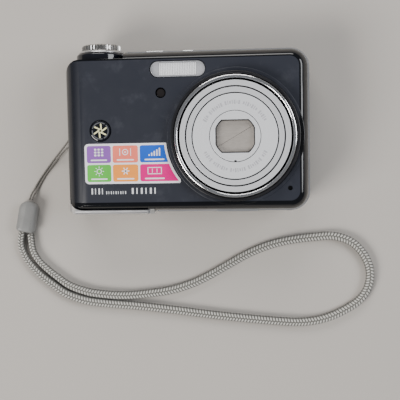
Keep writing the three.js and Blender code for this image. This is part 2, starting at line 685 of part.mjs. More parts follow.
function addHousing(add) {
  add('front_cover', frontCover(), FINISH.navyGloss);
  add('centre_band', centreBand(), FINISH.brightSilver);
  add('rear_cover', rearCover(), FINISH.blackSatin);
  const footTop = BOTTOM + WALL;
  add('bottom_foot', discAlongY(FOOT_X, BUSH_Z, FOOT_RADIUS, BOTTOM - FOOT_PROUD, footTop, 12),
    FINISH.rubber);
  add('case_screw',
    discAlongY(SCREW_X, BUSH_Z, SCREW_RADIUS, BOTTOM + SCREW_SINK, footTop + SCREW_LENGTH, 12),
    FINISH.steel);
}

// ---------------------------------------------------------------- front details

function addFrontDetails(add) {
  const windowTop = FRONT_FACE_Z - FLASH_SINK;
  const windowBottom = windowTop - FLASH_WINDOW_DEPTH;
  const window = slotShape(FLASH_X, FLASH_Y, FLASH_WIDTH - GAP, FLASH_HEIGHT - GAP);
  add('flash_window', prism(window, windowBottom, windowTop), FINISH.clear);
  add('flash_reflector', flashReflector(windowBottom - GAP), FINISH.mirror);
  add('flash_tube', flashTube(windowTop - FLASH_TUBE_DEPTH), FINISH.clear);
  add('flash_capacitor', discAlongY(CAPACITOR_X, CAPACITOR_Z, CAPACITOR_RADIUS, CAPACITOR_Y,
    CAPACITOR_Y + CAPACITOR_LENGTH), FINISH.blackSatin);
  const lampTop = FRONT_FACE_Z - AF_LAMP_SINK;
  add('af_lamp', disc(AF_X, AF_Y, AF_LAMP_RADIUS, lampTop - AF_LAMP_DEPTH, lampTop, 16),
    FINISH.amber);
  const micTop = FRONT_FACE_Z - WALL - GAP;
  add('microphone', disc(MIC_X, MIC_Y, MIC_RADIUS, micTop - MIC_LENGTH, micTop, 12), FINISH.steel);
  add('emblem', disc(EMBLEM_X, EMBLEM_Y, EMBLEM_RADIUS, FRONT_FACE_Z - EMBLEM_SINK + GAP,
    FRONT_FACE_Z + EMBLEM_RISE, 24), FINISH.brightSilver);
  add('feature_label', featureLabel(), FINISH.label);
}

function flashReflector(top) {
  const [halfWidth, halfHeight] = [REFLECTOR_WIDTH / 2, REFLECTOR_HEIGHT / 2];
  const trough = new THREE.Shape();
  trough.absellipse(0, 0, TROUGH_DEPTH, halfHeight - 0.4, 0, 2 * Math.PI);
  const reach = halfWidth - REFLECTOR_END;
  const cut = prism(trough, FLASH_X - reach, FLASH_X + reach, 10)
    .rotate([0, 90, 0]).translate([0, FLASH_Y, top]);
  return block(FLASH_X - halfWidth, FLASH_X + halfWidth, FLASH_Y - halfHeight,
    FLASH_Y + halfHeight, top - REFLECTOR_DEPTH, top).subtract(cut);
}

function flashTube(z) {
  const length = REFLECTOR_WIDTH - 4 * REFLECTOR_END;
  const tube = new THREE.CylinderGeometry(FLASH_TUBE_RADIUS, FLASH_TUBE_RADIUS, length, 10);
  return solid(tube.rotateZ(Math.PI / 2).translate(FLASH_X, FLASH_Y, z));
}

// A printed label with a rounded top right corner, beside the lens.
function featureLabel() {
  const [x1, y1] = [LABEL_X + LABEL_WIDTH, LABEL_Y + LABEL_HEIGHT];
  const [bow, bowDepth, short] = LABEL_LEAN;
  const shape = new THREE.Shape();
  shape.moveTo(LABEL_X, LABEL_Y);
  shape.lineTo(x1, LABEL_Y);
  shape.quadraticCurveTo(x1 - bow, y1 - bowDepth, x1 - short, y1);
  shape.lineTo(LABEL_X, y1);
  const clear = disc(LENS_X, LENS_Y, BOSS_RADIUS + GAP, 0, FAR, 48);
  const z = FRONT_FACE_Z + SKIN_GAP;
  return prism(shape, z, z + LABEL_THICKNESS, 6).subtract(clear);
}

// ---------------------------------------------------------------- lens

function collar() {
  const lipZ = RING_TOP - RING_DEPTH - GAP;
  const top = FRONT_FACE_Z + COLLAR_RISE;
  return lensTurned([
    [BARREL_BORE, FLANGE_BOTTOM], [FLANGE_RADIUS, FLANGE_BOTTOM],
    [FLANGE_RADIUS, FLANGE_TOP], [COLLAR_RADIUS, FLANGE_TOP], [COLLAR_RADIUS, top],
    [RING_RADIUS + GAP, top], [RING_RADIUS + GAP, lipZ], [BARREL_BORE, lipZ],
  ]);
}

function chromeRing() {
  const [inner, outer] = [RING_RADIUS - RING_WALL, RING_RADIUS];
  const base = RING_TOP - RING_DEPTH;
  return lensTurned([
    [inner, base], [outer, base], [outer, RING_TOP - RING_ROUND], [(inner + outer) / 2, RING_TOP],
    [inner, RING_TOP - RING_ROUND],
  ]);
}

// A telescoping tube: a wall with a lip turned in at the front and a flange at the back.
function stageTube(radius, lip, flange, z0) {
  const inner = radius - STAGE_WALL;
  return lensTurned([
    [inner, z0], [radius + flange, z0], [radius + flange, z0 + STAGE_FLANGE],
    [radius, z0 + STAGE_FLANGE], [radius, LENS_FACE_Z], [radius - lip, LENS_FACE_Z],
    [radius - lip, LENS_FACE_Z - LIP_DEPTH], [inner, LENS_FACE_Z - LIP_DEPTH],
  ]);
}

function stageOne() {
  const inner = STAGE_1_RADIUS - STAGE_WALL;
  return lensTurned([
    [inner, STAGE_1_Z], [STAGE_1_RADIUS, STAGE_1_Z], [STAGE_1_RADIUS, LENS_FACE_Z],
    [STAGE_1_RADIUS - STAGE_1_LIP, LENS_FACE_Z],
    [STAGE_1_RADIUS - STAGE_1_LIP, LENS_FACE_Z - LIP_DEPTH], [inner, LENS_FACE_Z - LIP_DEPTH],
  ]);
}

// The inner tube carries the barrier base, with the two pins that the blades turn on.
function stageThree() {
  const inner = NAME_RING_RADIUS - STAGE_WALL;
  const lensCell = FRONT_LENS_RADIUS + GAP;
  const tube = lensTurned([
    [inner, STAGE_3_Z], [NAME_RING_RADIUS + FLANGE_REACH, STAGE_3_Z],
    [NAME_RING_RADIUS + FLANGE_REACH, STAGE_3_Z + STAGE_FLANGE],
    [NAME_RING_RADIUS, STAGE_3_Z + STAGE_FLANGE], [NAME_RING_RADIUS, NAME_RING_Z - GAP],
    [inner, NAME_RING_Z - GAP], [inner, BASE_TOP], [lensCell, BASE_TOP],
    [lensCell, BASE_TOP - LENS_CELL_DEPTH], [inner, BASE_TOP - LENS_CELL_DEPTH],
  ]);
  return bladePivots().reduce(
    (whole, [x, y]) => whole.add(disc(x, y, BLADE_PIN_RADIUS, BASE_TOP - 0.5, NAME_RING_Z - GAP, 10)),
    tube);
}

function nameRing() {
  const inner = WINDOW_PLATE_RADIUS + 0.25;
  return ring(LENS_X, LENS_Y, inner, NAME_RING_RADIUS, NAME_RING_Z, LENS_FACE_Z - 0.1);
}

// The middle plate, with the window that the barrier closes and a small notch below it.
function barrierPlate() {
  const [z0, z1] = [NAME_RING_Z, LENS_FACE_Z - 0.15];
  const window = disc(LENS_X, LENS_Y, WINDOW_RADIUS, 0, FAR, 24).intersect(block(
    LENS_X - WINDOW_WIDTH / 2, LENS_X + WINDOW_WIDTH / 2,
    LENS_Y - WINDOW_HEIGHT / 2, LENS_Y + WINDOW_HEIGHT / 2, 0, FAR));
  const notch = disc(LENS_X, LENS_Y - WINDOW_PLATE_RADIUS, 0.5, 0, FAR, 3);
  return disc(LENS_X, LENS_Y, WINDOW_PLATE_RADIUS, z0, z1, 32).subtract(window).subtract(notch);
}

// The two places, on either side of the window, where the blades are pinned.
function bladePivots() {
  return [180, 0].map((side) => seamPoint(side, BLADE_PIVOT_RADIUS, -BLADE_LUG_DROP));
}

// A point given along and across the seam between the blades, on one side of the lens.
function seamPoint(side, along, across) {
  const angle = THREE.MathUtils.degToRad(BLADE_SEAM_ANGLE + side);
  const [c, s] = [Math.cos(angle), Math.sin(angle)];
  return [LENS_X + along * c - across * s, LENS_Y + along * s + across * c];
}

// Half a disc with a lug that turns on its pin. Both blades are this one shape.
function barrierBlade(side) {
  const [z0, z1] = [BASE_TOP + GAP, BASE_TOP + GAP + BLADE_THICKNESS];
  const half = disc(0, 0, BLADE_RADIUS, z0, z1, 24)
    .subtract(block(-FAR, FAR, -BLADE_SEAM_GAP, FAR, 0, FAR));
  const web = block(BLADE_RADIUS - 3, BLADE_PIVOT_RADIUS, -2 * BLADE_LUG_DROP, -GAP, z0, z1);
  const lug = disc(BLADE_PIVOT_RADIUS, -BLADE_LUG_DROP, BLADE_LUG_RADIUS, z0, z1, 12);
  const pin = disc(BLADE_PIVOT_RADIUS, -BLADE_LUG_DROP, BLADE_PIN_RADIUS + 0.2, 0, FAR, 10);
  return half.add(web).add(lug).subtract(pin)
    .rotate([0, 0, BLADE_SEAM_ANGLE + side]).translate([LENS_X, LENS_Y, 0]);
}

function lensElement(radius, rim, z0, z1) {
  return lensTurned([
    [0, z0], [radius, z0], [radius, z1 - rim], [0.86 * radius, z1 - 0.45 * rim],
    [0, z1],
  ], 20);
}

function addLens(add) {
  add('lens_base', ring(LENS_X, LENS_Y, SENSOR_POCKET_RADIUS, BARREL_RADIUS, LENS_BASE_Z,
    LENS_BASE_TOP), FINISH.blackSatin);
  add('lens_barrel', ring(LENS_X, LENS_Y, BARREL_BORE, BARREL_RADIUS, LENS_BASE_TOP + GAP,
    FLANGE_BOTTOM - GAP), FINISH.blackSatin);
  add('lens_collar', collar(), FINISH.blackSatin);
  add('chrome_ring', chromeRing(), FINISH.chrome);
  add('lens_stage_1', stageOne(), FINISH.lensSilver);
  add('lens_stage_2', stageTube(STAGE_2_RADIUS, STAGE_2_LIP, FLANGE_REACH, STAGE_2_Z),
    FINISH.lensSilver);
  add('lens_stage_3', stageThree(), FINISH.blackSatin);
  add('name_ring', nameRing(), FINISH.lensSilver);
  add('barrier_plate', barrierPlate(), FINISH.lensSilver);
  add('barrier_blade_1', barrierBlade(180), FINISH.blade);
  add('barrier_blade_2', barrierBlade(0), FINISH.blade);
  addLensElements(add);
}

function addLensElements(add) {
  add('front_lens', lensElement(FRONT_LENS_RADIUS, 1.2, BASE_TOP - 3.2, BASE_TOP - 0.8),
    FINISH.clear);
  add('zoom_lens_group', lensElement(ZOOM_LENS_RADIUS, 1.5, ZOOM_GROUP_Z, ZOOM_GROUP_Z + 3.6),
    FINISH.clear);
  add('focus_lens_group',
    lensElement(FOCUS_LENS_RADIUS, 0.6, LENS_BASE_TOP + 0.6, LENS_BASE_TOP + 2.4), FINISH.clear);
  add('image_sensor', lensBlock(SENSOR_SIZE, SENSOR_Z), FINISH.steel);
  add('ir_filter', lensBlock(FILTER_SIZE, SENSOR_Z + SENSOR_SIZE[2] + GAP), FINISH.clear);
}

// A rectangular block on the lens's axis.
function lensBlock([width, height, depth], z) {
  return block(LENS_X - width / 2, LENS_X + width / 2, LENS_Y - height / 2, LENS_Y + height / 2,
    z, z + depth);
}

// ---------------------------------------------------------------- power

function batteryChamber() {
  const right = CELL_X[1] + CELL_DIAMETER / 2 + CELL_GAP + CHAMBER_SIDE;
  let chamber = block(COVER.left, right, CELL_BOTTOM + GAP, CELL_TOP - 1,
    CELL_Z - CELL_DIAMETER / 2 - CELL_GAP - CHAMBER_WALL,
    CELL_Z + CELL_DIAMETER / 2 - CHAMBER_OPEN);
  for (const x of CELL_X) {
    chamber = chamber.subtract(
      discAlongY(x, CELL_Z, CELL_DIAMETER / 2 + CELL_GAP, -FAR, FAR, 20));
  }
  const reach = EYELET_HALF + 0.5;
  const pocket = block(-FAR, POST_X + POST_RADIUS + 2 * CORD_DIAMETER, EYELET_Y - reach,
    EYELET_Y + reach, 0, POST_TOP + GAP);
  return chamber.subtract(pocket).intersect(interior(GAP));
}

function cell(x) {
  const [bottom, top] = [CELL_BOTTOM + GAP, CELL_TOP];
  const [tipRadius, tipHeight] = CELL_TIP;
  const [r, can] = [CELL_DIAMETER / 2, top - tipHeight];
  return turnedAlongY(x, CELL_Z, [
    [0, bottom], [r, bottom], [r, can], [tipRadius, can], [tipRadius, top], [0, top],
  ], 20);
}

// The sprung plate over the tops of the cells.
function batterySpring() {
  const y = CELL_TOP + GAP;
  const plate = block(CELL_X[0] - SPRING_REACH, CELL_X[1] + SPRING_REACH, y + 1.4, y + 1.9,
    CELL_Z - 4, CELL_Z + 4);
  return CELL_X.reduce((whole, x) => whole.add(turnedAlongY(x, CELL_Z, [
    [0, y], [2.2, y], [3.4, y + 1.5], [0, y + 1.5]], 12)), plate);
}

function batteryDoor() {
  const [z0, z1] = [DOOR_BOTTOM_Z, DOOR_TOP_Z];
  const whole = prism(doorOutline(0), z0, z1).subtract(insideDoor(0, z0 - 1, z1 + 1));
  const rounded = whole.intersect(doorCrown());
  const ears = block(HINGE_X - EAR_WIDTH, FAR, -FAR, FAR, -FAR, z0 + EAR_DEPTH + GAP)
    .add(block(HINGE_X - EAR_WIDTH, FAR, -FAR, FAR, z1 - EAR_DEPTH - GAP, FAR));
  const bore = disc(HINGE_X, HINGE_Y, HINGE_PIN_RADIUS + HINGE_BORE_GAP, -FAR, FAR, 10);
  return rounded.subtract(ears).subtract(bore);
}

// The door's edges follow the front cover's and the rear cover's, a little proud of them.
function doorCrown() {
  const around = {
    left: DOOR_LEFT - 0.1, right: FAR, bottom: DOOR_BOTTOM - 0.1, top: FAR, corner: DOOR_CORNER,
  };
  const split = DOOR_TOP_Z - DOOR_BACK_DEPTH;
  const front = crownedBlock(around, 0, DOOR_TOP_Z, DOOR_BOTTOM_Z + DOOR_BACK_DEPTH, ...DOOR_EDGE);
  const back = crownedBlock(around, 0, split - DOOR_BOTTOM_Z, 0, DOOR_BACK_EDGE, DOOR_BACK_EDGE)
    .mirror([0, 0, 1]).translate([0, 0, split]);
  const side = rollPrism(-0.05).add(block(-FAR, FAR, -FAR, FAR, 0, BAND_TOP_Z));
  return front.add(back).intersect(side);
}

// The hinge slides in the housing, and the door turns on its pin.
function doorCarriage() {
  const [z0, z1] = [DOOR_BOTTOM_Z, DOOR_TOP_Z];
  const plate = block(DOOR_RIGHT - CARRIAGE_LENGTH, DOOR_RIGHT, DOOR_INNER + GAP, CARRIAGE_INNER,
    z0 + 1, z1 - 1);
  const pin = disc(HINGE_X, HINGE_Y, HINGE_PIN_RADIUS, z0 + 0.5, z1 - 0.5, 10);
  const ear = (low) => block(HINGE_X - CARRIAGE_THICKNESS, DOOR_RIGHT, DOOR_BOTTOM + 0.1,
    CARRIAGE_INNER, low, low + EAR_DEPTH - 2 * GAP);
  return plate.add(pin).add(ear(z0 + 0.6)).add(ear(z1 - EAR_DEPTH));
}

function doorContact() {
  const left = COVER.left + COVER.corner - CONTACT_LAP;
  return block(left, DOOR_RIGHT - CARRIAGE_LENGTH - 0.6, DOOR_INNER + 0.05,
    CELL_BOTTOM - 0.15, CELL_Z - 4.5, CELL_Z + 4.5);
}

function memoryCard() {
  const x0 = CARD_X;
  const [x1, y1] = [x0 + CARD_WIDTH, CARD_Y + CARD_LENGTH];
  const outline = new THREE.Shape();
  outline.moveTo(x0, CARD_Y);
  outline.lineTo(x1, CARD_Y);
  outline.lineTo(x1, y1);
  outline.lineTo(x0 + CARD_CORNER, y1);
  outline.lineTo(x0, y1 - CARD_CORNER);
  return prism(outline, CARD_Z, CARD_Z + CARD_THICKNESS);
}

function addPower(add) {
  add('battery_chamber', batteryChamber(), FINISH.blackSatin);
  add('battery_1', cell(CELL_X[0]), FINISH.cellJacket);
  add('battery_2', cell(CELL_X[1]), FINISH.cellJacket);
  add('battery_spring', batterySpring(), FINISH.steel);
  add('battery_door', batteryDoor(), FINISH.brightSilver);
  add('door_carriage', doorCarriage(), FINISH.steel);
  add('door_contact', doorContact(), FINISH.steel);
  add('memory_card', memoryCard(), FINISH.blackSatin);
}

// ---------------------------------------------------------------- display, board and sockets

function lcdPrism(margin, z0, z1) {
  const half = LCD_HEIGHT / 2 + margin;
  const outline = roundedRectangle(LCD_LEFT - margin, LCD_RIGHT + margin, LCD_Y - half,
    LCD_Y + half, 1 + Math.max(margin, 0));
  return prism(outline, z0, z1, 3);
}

// A cover plate with one round end, which it turns on.
function terminalOutline(clearance) {
  const radius = TERMINAL_THICKNESS / 2 + clearance;
  const shape = new THREE.Shape();
  const top = TERMINAL_Y + TERMINAL_LENGTH + clearance;
  shape.moveTo(TERMINAL_X + radius, TERMINAL_Y);
  shape.lineTo(TERMINAL_X + radius, top);
  shape.lineTo(TERMINAL_X - radius, top);
  shape.lineTo(TERMINAL_X - radius, TERMINAL_Y);
  shape.absarc(TERMINAL_X, TERMINAL_Y, radius, Math.PI, 2 * Math.PI);
  return shape;
}

function socket() {
  const y = TERMINAL_Y + TERMINAL_LENGTH / 2;
  const z = (TERMINAL_Z0 + TERMINAL_Z1) / 2;
  const [length, halfWidth, halfHeight] = [SOCKET_SIZE[0], SOCKET_SIZE[1] / 2, SOCKET_SIZE[2] / 2];
  const x1 = RIGHT - BAND_WALL - 1;
  const x0 = x1 - length - 1;
  const shell = block(x0, x1, y - halfWidth, y + halfWidth, z - halfHeight, z + halfHeight);
  const [width, height] = [halfWidth - SOCKET_WALL, halfHeight - SOCKET_WALL];
  return shell.subtract(block(x0 + 1, x1 + 1, y - width, y + width, z - height, z + height));
}

function tripodBush() {
  const bush = discAlongY(LENS_X, BUSH_Z, BUSH_RADIUS, BOTTOM, BUSH_TOP - GAP, 20);
  return bush.subtract(discAlongY(LENS_X, BUSH_Z, BUSH_BORE, BOTTOM - 1, BUSH_TOP - BUSH_END, 16));
}

function mainBoard() {
  const board = block(BOARD_LEFT, FAR, BOTTOM + BOARD_MARGIN, TOP - BOARD_MARGIN, BOARD_Z,
    BOARD_Z + BOARD_THICKNESS);
  return board.intersect(interior(GAP));
}

function addElectronics(add) {
  add('main_board', mainBoard(), FINISH.board);
  add('lcd_panel', lcdPrism(0, LCD_Z, LCD_Z + LCD_THICKNESS), FINISH.darkGlass);
  add('lcd_window', lcdPrism(WINDOW_MARGIN, WINDOW_DEPTH - WINDOW_THICKNESS, WINDOW_DEPTH),
    FINISH.darkGlass);
  add('speaker', disc(SPEAKER_X, SPEAKER_Y, SPEAKER_RADIUS, WALL + GAP, BOARD_Z - GAP, 20),
    FINISH.steel);
  add('usb_socket', socket(), FINISH.steel);
  add('terminal_cover', prism(terminalOutline(0), TERMINAL_Z0, TERMINAL_Z1), FINISH.brightSilver);
  add('tripod_bush', tripodBush(), FINISH.steel);
}

// ---------------------------------------------------------------- controls

function dialPod() {
  const [bore, r] = [SHAFT_RADIUS + GAP, POD_RADIUS];
  return turnedAlongY(DIAL_X, DIAL_Z, [
    [bore, POD_BOTTOM], [r, POD_BOTTOM], [r, POD_TOP - POD_EDGE], [r - POD_EDGE, POD_TOP],
    [bore, POD_TOP],
  ], 28);
}

function podCap() {
  const [bore, r] = [SHAFT_RADIUS + GAP, POD_RADIUS - POD_EDGE];
  const [y0, y1] = [POD_TOP + 0.2, CAP_TOP];
  return turnedAlongY(DIAL_X, DIAL_Z, [[bore, y0], [r, y0], [r - CAP_EDGE, y1], [bore, y1]], 28);
}

// A knurled dial on a shaft that goes down through the pod.
function modeDial() {
  const rim = new THREE.Shape();
  for (let i = 0; i < 2 * DIAL_TEETH; i += 1) {
    const angle = (i / (2 * DIAL_TEETH)) * 2 * Math.PI;
    const radius = DIAL_RADIUS - (i % 2 === 0 ? 0 : DIAL_TOOTH);
    rim.lineTo(radius * Math.cos(angle), radius * Math.sin(angle));
  }
  const toothed = prismAlongY(rim, DIAL_BOTTOM, DIAL_TOP).translate([DIAL_X, 0, DIAL_Z]);
  const [edgeWidth, edgeDepth] = DIAL_EDGE;
  const shaped = turnedAlongY(DIAL_X, DIAL_Z, [
    [0, DIAL_BOTTOM], [DIAL_RADIUS, DIAL_BOTTOM], [DIAL_RADIUS, DIAL_TOP - edgeDepth],
    [DIAL_RADIUS - edgeWidth, DIAL_TOP], [0, DIAL_TOP],
  ], 26);
  const shaft = discAlongY(DIAL_X, DIAL_Z, SHAFT_RADIUS, SHAFT_BOTTOM, DIAL_BOTTOM + 0.5, 12);
  return toothed.intersect(shaped).add(shaft);
}

// A long button in the top: its cap, and the flange that keeps it in.
function topButton({ x, length, width }, clearance, flange) {
  const cap = slotShape(0, 0, length + 2 * clearance, width + 2 * clearance);
  const top = clearance > 0 ? TOP + 1 : TOP + TOP_BUTTON_RISE;
  const inner = TOP - BAND_WALL - GAP - BUTTON_TRAVEL;
  const button = prismAlongY(cap, inner - 1, top);
  const keeper = prismAlongY(slotShape(0, 0, length + 2 * flange, width + 0.6 * flange), inner - 1,
    inner);
  return (flange > 0 ? button.add(keeper) : button).translate([x, 0, TOP_BUTTON_Z]);
}

function rockerPrism(clearance, z0, z1) {
  return prism(slotShape(ROCKER_X, ROCKER_Y, ROCKER_LENGTH + 2 * clearance,
    ROCKER_WIDTH + 2 * clearance), z0, z1);
}

function addControls(add) {
  add('dial_pod', dialPod(), FINISH.navyGloss);
  add('pod_cap', podCap(), FINISH.brightSilver);
  add('mode_dial', modeDial(), FINISH.chrome);
  add('shutter_button', topButton(SHUTTER, 0, BUTTON_FLANGE), FINISH.chrome);
  add('power_button', topButton(POWER, 0, BUTTON_FLANGE), FINISH.chrome);
  add('zoom_rocker', rockerPrism(0, ROCKER_SINK, ROCKER_SINK + ROCKER_DEPTH), FINISH.brightSilver);
  SMALL_BUTTONS.forEach(([x, y], i) => {
    add(`${['menu', 'play'][i]}_button`,
      disc(x, y, SMALL_BUTTON_RADIUS, BUTTON_Z, BUTTON_Z + BUTTON_DEPTH, 16), FINISH.brightSilver);
  });
  const gimbalZ = BUTTON_Z + PAD_DEPTH + PAD_TILT_GAP;
  add('pad_gimbal', ring(PAD_X, PAD_Y, OK_RADIUS + 1, GIMBAL_RADIUS, gimbalZ,
    gimbalZ + GIMBAL_DEPTH, 16), FINISH.rubber);
  add('four_way_pad', ring(PAD_X, PAD_Y, OK_RADIUS + GAP, PAD_RADIUS, BUTTON_Z + 0.2,
    BUTTON_Z + PAD_DEPTH, 24), FINISH.brightSilver);
  add('ok_button', disc(PAD_X, PAD_Y, OK_RADIUS, BUTTON_Z, BUTTON_Z + BUTTON_DEPTH, 16),
    FINISH.chrome);
}

// ---------------------------------------------------------------- wrist strap

// The routes keep their own points, in the finished frame.
const CORD_ROUTE = [
  [-66.6, -28.35, 2.5], [-66.0, -26.2, 1.6], [-64.8, -24.2, 0.8], [-62.9, -20.9, 0.45],
  [-60.2, -17.0, 0.45], [-57.1, -13.3, 0.9], [-54.0, -9.8, 1.9], [-51.0, -7.2, 3.2],
  [-48.2, -5.8, 4.0], [-46.2, -5.6, 4.1], [-43.6, -5.55, 4.1], [-42.0, -4.9, 4.1],
  [-41.35, -3.3, 4.1], [-42.0, -1.7, 4.1], [-43.6, -1.05, 4.1], [-46.3, -1.2, 4.1],
  [-49.0, -2.9, 3.8], [-51.9, -6.1, 3.0], [-54.8, -9.2, 1.9], [-58.0, -12.7, 0.9],
  [-61.0, -16.4, 0.45], [-63.9, -20.4, 0.45], [-65.9, -23.8, 0.8], [-67.1, -26.1, 1.6],
  [-67.65, -28.2, 2.5],
];
const BRAID_ROUTE = [
  [-71.6, -41.5], [-72.3, -47.0], [-70.5, -52.3], [-67.7, -56.3], [-64.1, -60.1],
  [-59.1, -64.1], [-53.7, -67.9], [-45.5, -70.8], [-37.2, -72.0], [-22.5, -73.2],
  [-5.8, -75.1], [10.9, -77.2], [32.9, -79.3], [43.9, -79.8], [52.5, -78.6],
  [60.2, -75.6], [68.0, -70.3], [71.4, -64.4], [71.8, -58.0], [69.4, -52.0],
  [64.6, -47.0], [57.6, -44.5], [49.6, -44.8], [38.7, -46.2], [30.5, -48.3],
  [22.3, -51.7], [14.0, -56.3], [5.6, -61.0], [-1.0, -64.0], [-8.5, -66.3],
  [-16.9, -67.7], [-28.0, -68.7], [-36.8, -68.3], [-44.6, -67.1], [-52.2, -64.3],
  [-56.8, -61.1], [-61.5, -57.3], [-64.9, -53.8], [-67.1, -50.0], [-68.1, -42.6],
];
const FERRULE_CENTRE = [-68.48, -35.05];

function tubeAlong(points, halfWidth, halfHeight, steps) {
  const section = new THREE.Shape();
  for (let i = 0; i < 8; i += 1) {
    const angle = ((i + 0.5) / 8) * 2 * Math.PI;
    section.lineTo(halfHeight * Math.cos(angle), halfWidth * Math.sin(angle));
  }
  const path = new THREE.CatmullRomCurve3(points, false, 'centripetal');
  return new THREE.ExtrudeGeometry(section, { steps, extrudePath: path, curveSegments: 1 });
}

function wristCord() {
  const points = CORD_ROUTE.map((point) => new THREE.Vector3(...point));
  return tubeAlong(points, CORD_DIAMETER / 2, CORD_DIAMETER / 2, 38);
}

function strapBraid() {
  const points = BRAID_ROUTE.map(([x, y]) => new THREE.Vector3(x, y, BRAID_HEIGHT / 2 + 0.05));
  return tubeAlong(points, BRAID_WIDTH / 2, BRAID_HEIGHT / 2, 40);
}

// The clamp that holds the thin cord and both ends of the braid, lying on its flat back.
function ferrule() {
  const w = FERRULE_WIDTH / 2 - FERRULE_CHAMFER;
  const h = FERRULE_LENGTH / 2 - FERRULE_CHAMFER;
  const [flat, fall] = FERRULE_DOME;
  const shoulder = FERRULE_LENGTH / 2 - fall;
  const shape = new THREE.Shape();
  shape.moveTo(-w, -h);
  shape.lineTo(w, -h);
  shape.lineTo(w, shoulder);
  shape.quadraticCurveTo(w, h, flat, h);
  shape.lineTo(-flat, h);
  shape.quadraticCurveTo(-w, h, -w, shoulder);
  const geometry = new THREE.ExtrudeGeometry(shape, {
    depth: FERRULE_HEIGHT - 2 * FERRULE_CHAMFER, curveSegments: 5, bevelEnabled: true,
    bevelThickness: FERRULE_CHAMFER, bevelSize: FERRULE_CHAMFER, bevelSegments: 2,
  });
  geometry.translate(0, 0, FERRULE_CHAMFER);
  geometry.rotateZ(THREE.MathUtils.degToRad(FERRULE_TILT));
  return geometry.translate(FERRULE_CENTRE[0], FERRULE_CENTRE[1], 0);
}

function strapPost() {
  return disc(POST_X, EYELET_Y, POST_RADIUS, EYELET_Z - POST_HALF_LENGTH[0], POST_TOP, 16);
}

// ---------------------------------------------------------------- the camera

const camera = new THREE.Group();
camera.name = 'compact_camera';
const housing = new THREE.Group();
const strap = new THREE.Group();
camera.add(housing, strap);

function adder(group) {
  return (name, shape, makeMaterial) => {
    const geometry = shape.isBufferGeometry ? shape : geometryOf(shape);
    const mesh = new THREE.Mesh(geometry, makeMaterial());
    mesh.name = name;
    group.add(mesh);
  };
}

const addPart = adder(housing);
const addStrap = adder(strap);
addHousing(addPart);
addFrontDetails(addPart);
addLens(addPart);
addPower(addPart);
addElectronics(addPart);
addControls(addPart);
addPart('strap_post', strapPost(), FINISH.steel);
addStrap('wrist_cord', wristCord(), FINISH.cordGrey);
addStrap('strap_braid', strapBraid(), FINISH.cordGrey);
addStrap('strap_ferrule', ferrule(), FINISH.ferruleGrey);

// The origin is at the middle of the camera's footprint.
const box = new THREE.Box3().setFromObject(housing);
housing.position.set(-(box.min.x + box.max.x) / 2, -(box.min.y + box.max.y) / 2, -box.min.z);

export default camera;
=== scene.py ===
"""A compact digital camera on its back, with its wrist strap: the finished surfaces.

Every shape is drawn in millimetres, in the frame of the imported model, and is handed over in metres.
"""

import json
import logging
import math
from abc import ABC, abstractmethod
from dataclasses import dataclass, field
from enum import Enum
from typing import Callable, Iterable, Sequence, Union

import bmesh
import bpy
from mathutils import Matrix, Vector


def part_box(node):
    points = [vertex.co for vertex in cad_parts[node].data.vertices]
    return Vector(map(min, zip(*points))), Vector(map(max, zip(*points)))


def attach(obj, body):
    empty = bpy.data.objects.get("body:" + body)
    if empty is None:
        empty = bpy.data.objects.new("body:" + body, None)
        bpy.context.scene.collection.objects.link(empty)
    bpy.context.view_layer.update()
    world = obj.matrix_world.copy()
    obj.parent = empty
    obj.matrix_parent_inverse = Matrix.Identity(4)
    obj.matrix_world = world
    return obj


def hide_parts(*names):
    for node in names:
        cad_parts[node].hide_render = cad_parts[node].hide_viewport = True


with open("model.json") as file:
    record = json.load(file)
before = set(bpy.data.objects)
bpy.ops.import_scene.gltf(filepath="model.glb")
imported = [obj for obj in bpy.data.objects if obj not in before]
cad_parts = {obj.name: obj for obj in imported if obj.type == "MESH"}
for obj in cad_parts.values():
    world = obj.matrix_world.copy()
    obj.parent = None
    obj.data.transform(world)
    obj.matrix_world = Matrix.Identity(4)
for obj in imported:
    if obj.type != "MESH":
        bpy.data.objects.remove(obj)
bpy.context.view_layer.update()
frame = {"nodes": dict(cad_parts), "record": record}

log = logging.getLogger("camera")

MM = 0.001
FAR = 200.0
GAP = 0.3
SAME_PLACE = 1e-4
SOFT = 40.0
Colour = tuple[float, float, float]
Span = tuple[float, float]
Spots = tuple[tuple[float, float], ...]


def linked(name: str, data: bpy.types.ID) -> bpy.types.Object:
    """A new object in the scene, around a mesh, a light or a camera."""
    item = bpy.data.objects.new(name, data)
    bpy.context.scene.collection.objects.link(item)
    return item


def grown(span: Span, by: float) -> Span:
    """A span that reaches further at both ends, or less far if by is negative."""
    return span[0] - by, span[1] + by


def about(middle: float, half: float) -> Span:
    """The span about a middle."""
    return middle - half, middle + half


def quarter(steps: int) -> list[float]:
    """Angles from 0 to a right angle, in radians."""
    return [math.pi / 2 * i / steps for i in range(steps + 1)]


# ---------------------------------------------------------------- shader graphs


